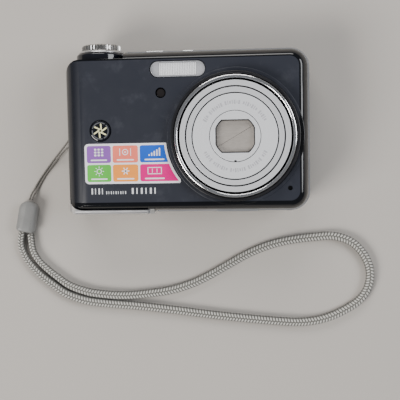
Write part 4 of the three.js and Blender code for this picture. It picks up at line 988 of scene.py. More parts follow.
@dataclass
class Strap:
    """The wrist strap: a thin cord loop, a ferrule and a flat knitted loop."""

    bench: Bench
    braid_width: float = 3.5
    braid_height: float = 2.8
    braid_pitch: float = 1.22
    braid_length: float = 0.337
    braid_lift: float = 0.05
    braid_sides: int = 28
    points_per_rib: int = 6
    drawn_width: float = 0.80
    drawn_until: float = 14.0
    full_after: float = 26.0
    rib: float = 0.17
    seam_depth: float = 0.13
    seam_width: float = 0.2
    cord_diameter: float = 0.8
    cord_length: float = 0.0775
    cord_pitch: float = 1.6
    cord_step: float = 0.2
    cord_sides: int = 16
    thread_swell: float = 0.07
    ferrule_size: tuple[float, float] = (8.0, 13.0)
    ferrule_corners: tuple[float, ...] = (1.6, 1.6, 3.6, 3.6)
    ferrule_top_edge: float = 1.7
    ferrule_foot_edge: float = 0.8
    ferrule_tilt: float = -11.3
    ridge_x: float = -0.6
    ridge_fall: float = 0.9
    braid_route: tuple[tuple[float, float], ...] = (
        (-0.0716, -0.0415), (-0.0723, -0.0470), (-0.0705, -0.0523), (-0.0677, -0.0563),
        (-0.0641, -0.0601), (-0.0591, -0.0641), (-0.0537, -0.0679), (-0.0455, -0.0708),
        (-0.0372, -0.0720), (-0.0225, -0.0732), (-0.0058, -0.0751), (0.0109, -0.0772),
        (0.0329, -0.0793), (0.0439, -0.0798), (0.0525, -0.0786), (0.0602, -0.0756),
        (0.0680, -0.0703), (0.0714, -0.0644), (0.0718, -0.0580), (0.0694, -0.0520),
        (0.0646, -0.0470), (0.0576, -0.0445), (0.0496, -0.0448), (0.0387, -0.0462),
        (0.0305, -0.0483), (0.0223, -0.0517), (0.0140, -0.0563), (0.0056, -0.0610),
        (-0.0010, -0.0640), (-0.0085, -0.0663), (-0.0169, -0.0677), (-0.0280, -0.0687),
        (-0.0368, -0.0683), (-0.0446, -0.0671), (-0.0522, -0.0643), (-0.0568, -0.0611),
        (-0.0615, -0.0573), (-0.0649, -0.0538), (-0.0671, -0.0500), (-0.0681, -0.0426),
    )
    cord_route: tuple[tuple[float, float, float], ...] = (
        (-0.0666, -0.02835, 0.0025), (-0.0660, -0.0262, 0.0016), (-0.0648, -0.0242, 0.0008),
        (-0.0629, -0.0209, 0.00045), (-0.0602, -0.0170, 0.00045), (-0.0571, -0.0133, 0.0009),
        (-0.0540, -0.0098, 0.0019), (-0.0510, -0.0072, 0.0032), (-0.0482, -0.0058, 0.0040),
        (-0.0462, -0.0056, 0.0041), (-0.0436, -0.00555, 0.0041), (-0.0420, -0.0049, 0.0041),
        (-0.04135, -0.0033, 0.0041), (-0.0420, -0.0017, 0.0041), (-0.0436, -0.00105, 0.0041),
        (-0.0463, -0.0012, 0.0041), (-0.0490, -0.0029, 0.0038), (-0.0519, -0.0061, 0.0030),
        (-0.0548, -0.0092, 0.0019), (-0.0580, -0.0127, 0.0009), (-0.0610, -0.0164, 0.00045),
        (-0.0639, -0.0204, 0.00045), (-0.0659, -0.0238, 0.0008), (-0.0671, -0.0261, 0.0016),
        (-0.06765, -0.0282, 0.0025),
    )

    def build(self) -> None:
        """Makes the ferrule first, then the knitted loop and the thin cord."""
        ferrule = self.bench.piece(
            "ferrule_moulding", self.ferrule(), FERRULE_GREY, "strap_ferrule", ["strap_ferrule"],
            28.0,
        )
        self.braid()
        self.cord()

    def narrowing(self, walked: float) -> float:
        """The knit is drawn together where its two ends meet the ferrule."""
        total = self.braid_length / MM
        near = min(walked, total - walked)
        share = min(1.0, max(0.0, (near - self.drawn_until) / self.full_after))
        return self.drawn_width + (1 - self.drawn_width) * share * share * (3 - 2 * share)

    def knit_section(self, walked: float, angle: float) -> tuple[float, float]:
        """The outline of the knit: two soft ridges with slanted ribs on them."""
        across, up = math.cos(angle), math.sin(angle)
        lean = 0.5 * abs(across) + (0.5 if across > 0 else 0.0)
        wave = math.sin(2 * math.pi * (walked / self.braid_pitch + lean))
        lobes = 1.0 - self.seam_depth * math.exp(-((across / self.seam_width) ** 2))
        edge = math.sin(2 * math.pi * (walked / self.braid_pitch + 0.5 + lean)) * abs(across) ** 6
        width = self.braid_width / 2 * self.narrowing(walked)
        squared = math.copysign(abs(up) ** 0.75, up)
        half = (self.braid_height / 2 - self.rib) * lobes
        out = across * (width - self.rib) + math.copysign(self.rib * (0.5 + 0.5 * edge), across)
        return out, squared * (half + self.rib * (0.5 + 0.5 * wave) * (1 - abs(across) ** 4))

    def braid(self) -> None:
        """Makes the knitted loop that goes round the wrist."""
        height = self.braid_height / 2 + self.braid_lift
        knots = [Vector((x / MM, y / MM, height)) for x, y in self.braid_route]
        points = route_through(knots, self.braid_pitch / self.points_per_rib)
        knit = Cord(
            "strap_braid", "braid_knit", points, self.knit_section, self.braid_sides,
            self.braid_length, self.braid_width,
        )
        finish = Knit("strap_knit", "strap_fabric", self.braid_pitch)
        knit.hang(self.bench, finish, 4)

    def twine_section(self, walked: float, angle: float) -> tuple[float, float]:
        """The outline of the thin cord: two threads that turn round each other."""
        radius = self.cord_diameter / 2
        turn = 2 * (angle - 2 * math.pi * walked / (2 * self.cord_pitch))
        swell = radius * (1 - self.thread_swell + self.thread_swell * math.cos(turn))
        return swell * math.cos(angle), swell * math.sin(angle)

    def cord(self) -> None:
        """Makes the thin loop that goes round the strap post."""
        knots = [Vector(point) / MM for point in self.cord_route]
        points = route_through(knots, self.cord_step)
        twine = Cord(
            "wrist_cord", "wrist_twine", points, self.twine_section, self.cord_sides,
            self.cord_length, self.cord_diameter,
        )
        finish = Twine("strap_twine", "strap_fabric", self.cord_pitch)
        twine.hang(self.bench, finish, 1)

    def ferrule(self) -> Form:
        """The clamp: a long block with a domed upper end and a ridge along its back."""
        box = Box.of("strap_ferrule")
        width, length = self.ferrule_size
        height = box.z[1] - box.z[0]
        outline = (about(0, width / 2), about(0, length / 2))
        form = Form.plate(*outline, (0.0, height), self.ferrule_corners, 6)
        form.rounded_at(height, self.ferrule_top_edge, 3).rounded_at(0.0, self.ferrule_foot_edge, 2)
        bmesh.ops.bisect_plane(
            form.bm, geom=form.bm.verts[:] + form.bm.edges[:] + form.bm.faces[:],
            plane_co=(self.ridge_x, 0, 0), plane_no=(1, 0, 0), dist=SAME_PLACE,
        )
        for vert in form.bm.verts:
            fall = abs(vert.co.x - self.ridge_x) / (width / 2)
            if vert.co.z > height * 0.6:
                vert.co.z -= self.ridge_fall * fall
        return form.spun(self.ferrule_tilt).moved(box.middle.x, box.middle.y, box.z[0])


# ---------------------------------------------------------------- housing


@dataclass
class Housing:
    """The front cover, the bright band and the rear cover, with what is cut from them."""

    bench: Bench
    corner: float = 7.5
    step: float = 0.75
    wall: float = 1.6
    band_wall: float = 1.4
    edge_width: float = 3.4
    edge_depth: float = 6.5
    roll_width: float = 9.5
    roll_depth: float = 8.6
    back_round: float = 2.4
    deck_drop: float = 3.3
    boss_radius: float = 26.0
    boss_rise: float = 0.4
    seat_radius: float = 24.7
    flange_radius: float = 25.4
    door_wall: float = 1.6
    door_corner: float = 4.0
    hinge_radius: float = 0.8
    hinge_bore: float = 0.5
    hinge_notch: float = 1.7
    ear_depth: float = 2.0
    bush_radius: float = 4.5
    bush_plate_half: float = 8.0
    mouth_top: float = 19.4
    door_travel: float = 3.5
    flange_top: float = 19.6
    lamp_radius: float = 2.0
    microphone_radius: float = 0.9
    emblem_seat: tuple[float, float] = (4.25, 0.7)
    pad_hole: float = 8.7
    button_hole: float = 2.9
    keeper_lap: tuple[float, float] = (1.0, 0.3)
    display_corner: float = 2.8
    speaker_slot: tuple[float, float] = (4.0, 0.7)
    speaker_pitch: float = 1.6
    strap_notch: tuple[float, float] = (2.5, 3.4)
    strap_notch_z: Span = (3.0, 5.2)

    def __post_init__(self) -> None:
        """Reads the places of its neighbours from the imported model."""
        self.band = Box.of("centre_band")
        self.cover = Box.of("front_cover")
        self.rear = Box.of("rear_cover")
        self.door = Box.of("battery_door")
        self.pod = Box.of("dial_pod")
        self.lens = Box.of("chrome_ring").middle.xy
        self.face = self.cover.z[1] - self.boss_rise
        self.deck_top = self.band.y[1] - self.deck_drop
        self.deck_right = self.pod.x[1] + 2 * GAP
        self.cover_corner = self.corner - self.step
        self.cover_x = self.rear.x
        self.cover_y = self.rear.y
        self.band_z = (self.rear.z[1] + GAP, self.cover.z[0] - GAP)

    def outline(self, x: Span, y: Span, corner: float, inset: float, z: Span) -> Form:
        """A prism over one of the housing's outlines, drawn in by an inset."""
        return Form.plate(
            grown(x, -inset), grown(y, -inset), z, corner - inset, 14
        )

    def deck_cut(self, left: float, corner: float, inset: float, z: Span) -> Form:
        """What is taken off the top left corner, under the mode dial."""
        top = self.deck_top - inset
        radius = corner - inset
        block = Form.plate((-FAR, self.deck_right + inset), (top - radius, FAR), z)
        below = Form.plate(
            (left + inset - 0.03, FAR), (-FAR, top), (z[0] - 1, z[1] + 1), (0, 0, 0, radius), 14
        )
        return block.minus(below)

    def roll(self, inset: float, low: float) -> Form:
        """The grip side: everything right of a quarter of an ellipse."""
        depth = self.roll_depth - inset
        top = self.face - inset
        block = Form.plate((0, FAR), (-FAR, FAR), (low, top))
        corner = Vector((0, top))
        block.bevelled(
            depth, 16,
            lambda edge: all((v.co.xz - corner).length < SAME_PLACE for v in edge.verts),
        )
        stretch = (self.roll_width - inset) / depth
        return block.scaled((stretch, 1, 1)).moved(self.cover_x[0] + inset, 0, 0)

    def front_form(self, inset: float, low: float) -> Form:
        """The front cover's outer form, or its room inside."""
        stretch = self.edge_depth / self.edge_width
        height = (self.face - inset - low) / stretch
        form = self.outline(self.cover_x, self.cover_y, self.cover_corner, inset, (0, height))
        form.rounded_at(height, self.edge_width, 9)
        form.scaled((1, 1, stretch)).moved(0, 0, low)
        cut = self.deck_cut(self.cover_x[0], self.cover_corner, inset, (low - 1, FAR))
        return form.common(self.roll(inset, low - 1)).minus(cut)

    def rear_form(self, inset: float, high: float) -> Form:
        """The rear cover's outer form, or its room inside."""
        form = self.outline(self.cover_x, self.cover_y, self.cover_corner, inset, (inset, high))
        form.rounded_at(inset, self.back_round, 7)
        return form.minus(self.deck_cut(self.cover_x[0], self.cover_corner, inset, (-1, high + 1)))

    def inside_door(self, inset: float, z: Span) -> Form:
        """What is left of the housing inside the door."""
        left = self.cover_x[0] - GAP + inset
        bottom = self.door.y[0] + self.door_wall + inset
        radius = self.cover_corner + GAP - inset
        return Form.plate((left, FAR), (bottom, FAR), z, (radius, 0, 0, 0), 14)

    def doorway(self) -> Form:
        """The opening that the battery door closes."""
        x, y = self.door.x, self.door.y
        z = grown(self.door.z, GAP)
        hinge = (x[1] - self.hinge_radius, y[0] + self.hinge_radius)
        corners = (self.door_corner, 0, 0, 0)
        wrap = Form.plate((x[0] - GAP, hinge[0]), grown(y, GAP), z, corners)
        wrap.plus(Form.disc(hinge, self.hinge_radius + GAP, z, 32))
        wrap.minus(self.inside_door(GAP, grown(z, 1)))
        left = Box.of("door_contact").x[0] - self.door_travel - GAP
        room_y = (y[0] - 2, y[1] + GAP)
        return wrap.plus(Form.plate((left, x[1] + GAP), room_y, (z[0], self.mouth_top)))

    def bush_well(self) -> Form:
        """The round hole that the tripod bush stands in."""
        bush = Box.of("tripod_bush")
        well = Form.disc((0, 0), self.bush_radius, (self.band.y[0] - 1, bush.y[1] + GAP), 48)
        return well.facing_y(bush.middle.x, bush.middle.z)

    def bush_plate(self, clearance: float) -> Form:
        """The wider part of the band around the tripod bush."""
        bush = Box.of("tripod_bush")
        x = about(bush.middle.x, self.bush_plate_half + clearance)
        low = self.band.y[0]
        y = (low - (0.01 if clearance else 0), low + self.band_wall + clearance)
        return Form.plate(x, y, grown(self.band.z, clearance))

    def front_cover(self) -> Form:
        """The front cover, hollow, with its boss round the lens and its holes."""
        low = self.cover.z[0]
        lens = tuple(self.lens)
        boss = Form.disc(lens, self.boss_radius, (low, self.face + self.boss_rise), 128)
        boss.rounded_at(self.face + self.boss_rise, 0.3, 3)
        form = self.front_form(0, low).plus(boss)
        flash = Box.of("flash_window")
        lamp = Box.of("af_lamp")
        hole = Box.of("microphone")
        emblem = Box.of("emblem")
        size = tuple(side + 2 * GAP for side in flash.size[:2])
        seat_radius, seat_depth = self.emblem_seat
        high = (low - 1, FAR)
        return form.minus(
            self.front_form(self.wall, low - 1),
            Form.disc(lens, self.flange_radius, (low - 1, self.flange_top), 96),
            Form.disc(lens, self.seat_radius, high, 128),
            Form.slot(tuple(flash.middle.xy), size, high),
            Form.disc(tuple(lamp.middle.xy), self.lamp_radius, high, 40),
            Form.disc(tuple(hole.middle.xy), self.microphone_radius, high, 28),
            Form.disc(tuple(emblem.middle.xy), seat_radius, (self.face - seat_depth, FAR), 64),
            self.doorway(), self.bush_well(), self.bush_plate(GAP),
        )

    def bright_band(self) -> Form:
        """The band, with the holes for the buttons, the foot, the screw and the socket."""
        low, high = self.band_z
        wide = grown(self.band_z, 1)
        form = self.outline(self.band.x, self.band.y, self.corner, 0, self.band_z)
        form.rounded_at(low, 0.25, 2).rounded_at(high, 0.25, 2)
        form.minus(
            self.outline(self.band.x, self.band.y, self.corner, self.band_wall, wide),
            self.deck_cut(self.band.x[0], self.corner, 0, wide),
        )
        form.plus(self.deck_wall()).plus(self.bush_plate(0))
        form.minus(self.doorway(), self.bush_well())
        lap_x, lap_z = self.keeper_lap
        for node in ("shutter_button", "power_button"):
            box = Box.of(node)
            size = (box.size[0] + 2 * (GAP - lap_x), box.size[2] + 2 * (GAP - lap_z))
            cut = Form.slot((0, 0), size, (self.band.y[1] - 4, self.band.y[1] + 1))
            form.minus(cut.facing_y(box.middle.x, box.middle.z))
        for node in ("bottom_foot", "case_screw"):
            box = Box.of(node)
            y = (self.band.y[0] - 1, self.band.y[0] + 3)
            cut = Form.disc((0, 0), box.radius + GAP, y, 32)
            form.minus(cut.facing_y(box.middle.x, box.middle.z))
        flap = Box.of("terminal_cover")
        right = flap.x[1] + 1
        return form.minus(
            Form.plate((flap.x[0] - GAP, right), grown(flap.y, GAP), grown(flap.z, GAP)),
            Form.plate(
                (right - 4, right), (flap.y[0] + 2.2, flap.y[1] - 1), grown(flap.z, -0.2)
            ),
        )

    def deck_wall(self) -> Form:
        """The band's own wall along the lower deck under the mode dial."""
        wide = grown(self.band_z, 1)
        outer = self.outline(self.band.x, self.band.y, self.corner, 0, self.band_z)
        outer.minus(self.deck_cut(self.band.x[0], self.corner, 0, wide))
        inner = self.outline(self.band.x, self.band.y, self.corner, self.band_wall, wide)
        inner.minus(self.deck_cut(self.band.x[0], self.corner, self.band_wall, wide))
        return outer.minus(inner)

    def rear_cover(self) -> Form:
        """The rear cover, with the frame of the display and the holes for its controls."""
        top = self.rear.z[1]
        form = self.rear_form(0, top).minus(self.rear_form(self.wall, top + 1))
        window = Box.of("lcd_window")
        x, y = grown(window.x, GAP), grown(window.y, GAP)
        through = (-1, self.wall + 1)
        rim = self.display_corner
        form.minus(
            Form.plate(x, y, (-1, window.z[1] + 0.2), rim),
            Form.plate(grown(x, -rim), grown(y, -rim), through, 1.0),
            self.doorway(), self.bush_well(), self.bush_plate(GAP),
        )
        pad = Box.of("four_way_pad")
        rocker = Box.of("zoom_rocker")
        form.minus(Form.disc(tuple(pad.middle.xy), self.pad_hole, through, 72))
        size = tuple(side + 2 * GAP for side in rocker.size[:2])
        form.minus(Form.slot(tuple(rocker.middle.xy), size, through))
        for node in ("menu_button", "play_button"):
            form.minus(Form.disc(tuple(Box.of(node).middle.xy), self.button_hole, through, 40))
        speaker = Box.of("speaker").middle
        for row in (-1, 0, 1):
            spot = (speaker.x, speaker.y + self.speaker_pitch * row)
            form.minus(Form.slot(spot, self.speaker_slot, through))
        depth, half = self.strap_notch
        x = (self.rear.x[0] - 1, self.rear.x[0] + depth)
        y = about(Box.of("strap_post").middle.y, half)
        return form.minus(Form.plate(x, y, self.strap_notch_z))

    def battery_door(self) -> Form:
        """The door, which wraps round the bottom corner and turns on its right end."""
        x, y, z = self.door.x, self.door.y, self.door.z
        hinge = (x[1] - self.hinge_radius, y[0] + self.hinge_radius)
        corners = (self.door_corner, 0, 0, 0)
        form = Form.plate((x[0], hinge[0]), y, z, corners, 12)
        form.plus(Form.disc(hinge, self.hinge_radius, z, 32))
        shell = Form.plate((x[0] - 0.1, FAR), (y[0] - 0.1, FAR), z, corners, 12)
        shell.rounded_at(z[1], 1.5, 5).rounded_at(z[0], 0.8, 4)
        form.common(shell).common(self.roll(-0.05, -1.0))
        form.minus(self.inside_door(0, grown(z, 1)))
        ear = self.ear_depth + GAP
        notch = (hinge[0] - self.hinge_notch, FAR)
        for ends in ((-FAR, z[0] + ear), (z[1] - ear, FAR)):
            form.minus(Form.plate(notch, about(0, FAR), ends))
        return form.minus(Form.disc(hinge, self.hinge_bore, about(0, FAR), 20))

    def build(self) -> None:
        """Makes the covers, the band and the door."""
        for name, shape, finish, node in (
            ("front_shell", self.front_cover, NAVY_FRONT, "front_cover"),
            ("band_shell", self.bright_band, BAND_SILVER, "centre_band"),
            ("rear_shell", self.rear_cover, BLACK_SATIN, "rear_cover"),
            ("door_shell", self.battery_door, BAND_SILVER, "battery_door"),
        ):
            self.bench.piece(name, shape(), finish, node, [node])
        self.bench.carried_over(RUBBER, "bottom_foot")
        self.bench.carried_over(STEEL, "case_screw", "door_carriage", "door_contact", "strap_post")
        self.bench.carried_over(STEEL, "tripod_bush", "usb_socket", "battery_spring", "speaker")
        self.bench.carried_over(BAND_SILVER, "terminal_cover")
        self.bench.carried_over(CELL_JACKET, "battery_1", "battery_2")
        self.bench.carried_over(CARD_BLUE, "memory_card")
        self.bench.carried_over(BLACK_SATIN, "battery_chamber", "flash_capacitor")
        self.bench.carried_over(BOARD, "main_board")
        self.bench.carried_over(DARK_GLASS, "lcd_panel", "image_sensor")


# ---------------------------------------------------------------- lens


@dataclass
class Lens:
    """The telescoping lens and its barrier."""

    bench: Bench
    collar_foot: Spots = ((21.6, 0), (25.1, 0), (25.1, 1.3), (24.4, 1.3))
    collar_rim: Spots = (
        (24.4, 0.35), (24.3, 0.1), (24.05, 0), (23.5, 0), (23.3, 0.2), (23.3, 2.2), (21.6, 2.2),
    )
    chrome_foot: Spots = ((21.7, 0), (23.0, 0))
    chrome_rim: Spots = (
        (23.0, 0.5), (22.93, 0.22), (22.75, 0.06), (22.5, 0), (22.2, 0), (21.95, 0.06),
        (21.77, 0.22), (21.7, 0.5),
    )
    name_foot: Spots = ((9.75, 0), (15.95, 0))
    name_rim: Spots = (
        (15.95, 0.12), (15.9, 0.04), (15.8, 0), (9.9, 0), (9.78, 0.04), (9.75, 0.12),
    )
    flange_height: float = 1.2
    lip_depth: float = 1.4
    wall: float = 1.1
    edge: float = 0.12
    mark_arcs: Spots = ((28, 152), (208, 332))
    marks_per_arc: int = 33
    mark_radius: float = 12.7
    stage_1: tuple[float, float] = (20.9, 18.9)
    stage_2: tuple[float, float] = (18.35, 16.4)
    plate_radius: float = 9.5
    window: tuple[float, float] = (14.9, 12.5)
    window_bulge: float = 0.6
    window_corner: float = 1.1
    notch_radius: float = 8.95
    notch_half: float = 0.45
    recess_shade_lap: float = 0.4

    def __post_init__(self) -> None:
        """Finds the lens axis."""
        middle = Box.of("chrome_ring").middle
        self.axis = (middle.x, middle.y)
        self.metal = Lathed(
            "lathed_silver", "lens_aluminium", (0.80, 0.81, 0.84), self.axis, 0.36, 9.0, 0.4
        )
        self.plate_metal = Lathed(
            "lathed_plate", "lens_aluminium", (0.82, 0.83, 0.86), self.axis, 0.45, 7.0, 0.3
        )

    def ring(self, node: str, foot: Spots, rim: Spots) -> Form:
        """A ring turned about the lens axis.

        Args:
            node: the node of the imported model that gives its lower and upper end.
            foot: its lower points, as radius and height above the lower end.
            rim: its upper points, as radius and depth below the upper end.

        Returns:
            The ring.
        """
        low, top = Box.of(node).z
        profile = [(radius, low + rise) for radius, rise in foot]
        profile += [(radius, top - drop) for radius, drop in rim]
        return Form.turned(profile, self.axis, 160)

    def tube(self, node: str, radii: tuple[float, float], flange: float) -> Form:
        """A stage: a wall with a lip turned in at the front and a flange at the back."""
        outer, lip = radii
        inner = outer - self.wall
        e, bend = self.edge, self.edge * 0.3
        foot = [(inner, 0), (outer + flange, 0)]
        if flange:
            foot += [(outer + flange, self.flange_height), (outer, self.flange_height)]
        rim = [
            (outer, e), (outer - bend, bend), (outer - e, 0), (lip + e, 0), (lip + bend, bend),
            (lip, e), (lip, self.lip_depth), (inner, self.lip_depth),
        ]
        return self.ring(node, foot, rim)

    def ring_marks(self) -> Form:
        """Two arcs of small engraved ticks in the name ring, as on a scale."""
        top = Box.of("name_ring").z[1]
        z = (top - 0.05, top + 0.02)
        ticks = []
        for start, end in self.mark_arcs:
            for i in range(self.marks_per_arc):
                if i % 8 == 5:
                    continue
                angle = start + (end - start) * i / (self.marks_per_arc - 1)
                long = about(self.mark_radius, 0.75 if i % 3 else 0.5)
                wide = about(0, 0.16 if i % 2 else 0.30)
                tick = Form.plate(long, wide, z, 0.1, 3)
                ticks.append(tick.spun(angle).moved(*self.axis, 0))
        return Form.gathered(ticks)

    def window_hole(self, z: Span, lap: float) -> Form:
        """What is cut for the window through a plate, drawn in by a lap."""
        half_x, half_y = self.window[0] / 2 - lap, self.window[1] / 2 - lap
        x, y = about(self.axis[0], half_x), about(self.axis[1], half_y)
        barrel = Form.disc(self.axis, half_x + self.window_bulge, grown(z, 1), 96)
        return barrel.common(Form.plate(x, y, grown(z, 2), self.window_corner, 6))

    def window_plate(self) -> Form:
        """The middle plate, with the window in it."""
        z = Box.of("barrier_plate").z
        plate = Form.disc(self.axis, self.plate_radius, z, 128).rounded_at(z[1], self.edge, 3)
        x, y = self.axis
        notch_y = (y - self.plate_radius - 0.5, y - self.notch_radius)
        notch = Form.plate(about(x, self.notch_half), notch_y, grown(z, 1), 0.2, 3)
        return plate.minus(self.window_hole(z, 0.0), notch)

    def recess_shade(self) -> Form:
        """A black ring just behind the window, a little inside its edge: painted shade standing in
        for the shadow of the plate's wall in the window's recess.
        """
        low = Box.of("barrier_plate").z[0]
        z = (low - 0.3, low - 0.05)
        frame_form = Form.disc(self.axis, self.plate_radius - 0.2, z, 96)
        return frame_form.minus(self.window_hole(z, self.recess_shade_lap))

    def build(self) -> None:
        """Makes the rings and dresses the parts behind them."""
        bench = self.bench
        collar = self.ring("lens_collar", self.collar_foot, self.collar_rim)
        bench.piece("collar_ring", collar, COLLAR_BLACK, "lens_collar", ["lens_collar"])
        bright = self.ring("chrome_ring", self.chrome_foot, self.chrome_rim)
        bench.piece("bright_ring", bright, CHROME, "chrome_ring", ["chrome_ring"], SOFT)
        outer = self.tube("lens_stage_1", self.stage_1, 0.0)
        bench.piece("outer_tube", outer, self.metal, "lens_stage_1", ["lens_stage_1"], SOFT)
        middle = self.tube("lens_stage_2", self.stage_2, 1.0)
        bench.piece("middle_tube", middle, self.metal, "lens_stage_2", ["lens_stage_2"], SOFT)
        face, metal = self.ring("name_ring", self.name_foot, self.name_rim), self.plate_metal
        bench.piece("face_ring", face, metal, "name_ring", ["name_ring"], SOFT)
        bench.piece("face_marks", self.ring_marks(), MARK_GREY, "name_ring")
        plate = self.window_plate()
        bench.piece("window_plate", plate, metal, "barrier_plate", ["barrier_plate"], SOFT)
        # A black ring put in as painted shade in the window's recess, round the barrier blades.
        bench.piece("window_recess_shade", self.recess_shade(), BLACK_SATIN, "barrier_plate")
        bench.carried_over(BLADE_STEEL, "barrier_blade_1", "barrier_blade_2")
        bench.carried_over(BLACK_SATIN, "lens_stage_3", "lens_barrel", "lens_base")
        bench.carried_over(LENS_GLASS, "front_lens", "zoom_lens_group", "focus_lens_group")
        bench.carried_over(LENS_GLASS, "ir_filter")


# ---------------------------------------------------------------- front details


class Pictogram(Enum):
    """The plain symbols on the label's tiles."""

    PIXELS = "a grid of dots"
    FOCUS = "brackets round a dot"
    WAVES = "bars that grow"
    SUN = "a ring with rays"
    STAR = "a star of bars"
    PANORAMA = "a wide frame"


@dataclass
class FrontDetails:
    """The flash, the focus lamp, the emblem, the label and the printed marks."""

    bench: Bench
    print_height: float = 0.03
    tile_gap: float = 0.72
    tile_corner: float = 0.8
    tile_lift: float = 0.002
    tile_margin: tuple[float, float] = (0.85, 0.8)
    tile_columns: Spots = ((0.0, 9.35), (10.05, 19.85))
    last_column: float = 20.6
    symbol_reach: float = 11.2
    lens_clear: float = 26.55
    tile_clear: float = 0.85
    lamp_rise: float = 0.35
    ribs: int = 22
    rib_height: float = 0.24
    emblem_ring_radii: tuple[float, float] = (3.3, 2.85)
    marks_drop: float = 4.0
    mark_groups: tuple[tuple[float, int, float, float], ...] = (
        (-36.6, 4, 1.35, 2.3), (-30.9, 9, 0.92, 1.15), (-20.9, 6, 1.75, 2.3),
    )

    def __post_init__(self) -> None:
        """Finds the label and the lens."""
        self.label = Box.of("feature_label")
        self.lens = Box.of("chrome_ring").middle
        self.face = Box.of("feature_label").z[0] - 0.03

    def flash_window(self) -> Form:
        """The clear window, slightly crowned."""
        box = Box.of("flash_window")
        return Form.slot(tuple(box.middle.xy), box.size[:2], box.z).rounded_at(box.z[1], 0.3, 3)

    def flash_frame(self) -> Form:
        """The pale surround under the window, with the reflector's opening."""
        window = Box.of("flash_window")
        mirror = Box.of("flash_reflector")
        z = (mirror.z[1] - 1.0, window.z[0] - 0.05)
        frame_form = Form.slot(tuple(window.middle.xy), window.size[:2], z)
        x, y = grown(mirror.x, 0.1), grown(mirror.y, 0.1)
        return frame_form.minus(Form.plate(x, y, grown(z, 1), 0.3, 3))

    def flash_ribs(self) -> Form:
        """The fine upright ribs that spread the flash."""
        mirror = Box.of("flash_reflector")
        low = mirror.z[1] + 0.02
        top = low + self.rib_height
        pitch = mirror.size[0] / self.ribs
        ribs = []
        for i in range(self.ribs):
            x = about(mirror.x[0] + pitch * (i + 0.5), 0.42 * pitch)
            rib = Form.plate(x, grown(mirror.y, -0.1), (low, top))
            ribs.append(rib.rounded_at(top, 0.18, 2))
        return Form.gathered(ribs)

    def focus_lamp(self) -> Form:
        """The focus lamp's small domed glass."""
        box = Box.of("af_lamp")
        radius, rise = box.radius, self.lamp_rise
        low, top = box.z
        dome = [(radius * math.cos(a), top - rise + rise * math.sin(a)) for a in quarter(8)]
        profile = [(0, low), (radius, low), *dome[:-1], (0, top)]
        return Form.turned(profile, tuple(box.middle.xy), 48)

    def emblem_disc(self) -> Form:
        """The emblem's black disc with its rounded edge."""
        box = Box.of("emblem")
        radius = box.radius
        low, top = box.z
        profile = [
            (0, low), (radius, low), (radius, top - 0.35), (radius - 0.1, top - 0.15),
            (radius - 0.35, top - 0.05), (radius - 0.7, top - 0.12), (0, top - 0.12),
        ]
        return Form.turned(profile, tuple(box.middle.xy), 96)

    def emblem_ring(self) -> Form:
        """A bright ring in three parts on the emblem."""
        box = Box.of("emblem")
        top = box.z[1]
        z = (top - 0.2, top - 0.01)
        outer, inner = self.emblem_ring_radii
        ring = Form.disc((0, 0), outer, z, 72).minus(Form.disc((0, 0), inner, grown(z, 1), 72))
        for i in range(3):
            ring.minus(Form.plate((0, 5), about(0, 0.28), grown(z, 1)).spun(50 + 120 * i))
        return ring.moved(box.middle.x, box.middle.y, 0)

    def emblem_mark(self) -> Form:
        """Six slanted blades round the middle of the emblem, like a diaphragm."""
        box = Box.of("emblem")
        top = box.z[1]
        blades = []
        for i in range(6):
            blade = Form.plate((-1.0, 1.5), (-0.27, 0.27), (top - 0.2, top - 0.02), 0.25, 5)
            blades.append(blade.spun(35).moved(1.25, 0.35, 0).spun(60 * i))
        return Form.gathered(blades).moved(box.middle.x, box.middle.y, 0)

    def clear_of_lens(self, form: Form, extra: float) -> Form:
        """Cuts a shape back from the lens boss."""
        spot = (self.lens.x, self.lens.y)
        return form.minus(Form.disc(spot, self.lens_clear + extra, (0, FAR), 160))

    def label_plate(self) -> Form:
        """The white label, which follows the lens on its right."""
        box = self.label
        top = box.z[1] - 2 * self.print_height
        form = Form.plate(box.x, box.y, (box.z[0], top), (1.5, 0.6, 0.6, 1.5), 6)
        return self.clear_of_lens(form, 0.0)

    def tile_spans(self) -> list[tuple[Span, Span]]:
        """The places of the six tiles, row by row from the top left."""
        x0 = self.label.x[0] + self.tile_margin[0]
        y0, y1 = grown(self.label.y, -self.tile_margin[1])
        half = (y1 - y0 - self.tile_gap) / 2
        columns = [(x0 + left, x0 + right) for left, right in self.tile_columns]
        columns.append((x0 + self.last_column, self.label.x[1]))
        rows = [(y1 - half, y1), (y0, y0 + half)]
        return [(column, row) for row in rows for column in columns]

    def tile(self, spans: tuple[Span, Span]) -> Form:
        """One coloured tile."""
        low = self.label.z[1] - 2 * self.print_height + self.tile_lift
        z = (low, low + self.print_height - 2 * self.tile_lift)
        form = Form.plate(*spans, z, self.tile_corner, 5)
        return self.clear_of_lens(form, self.tile_clear)

    def bar(self, x: float, y: float, width: float, height: float, turn: float = 0.0) -> Form:
        """A small printed bar about a point."""
        low = self.label.z[1] - self.print_height
        z = (low, low + self.print_height)
        radius = 0.45 * min(width, height)
        bar = Form.plate(about(0, width / 2), about(0, height / 2), z, radius, 3)
        return bar.spun(turn).moved(x, y, 0)

    def loop(self, x: float, y: float, radius: float, stroke: float) -> Form:
        """A small printed ring about a point."""
        low = self.label.z[1] - self.print_height
        z = (low, low + self.print_height)
        ring = Form.disc((x, y), radius, z, 32)
        return ring.minus(Form.disc((x, y), radius - stroke, grown(z, 1), 32))

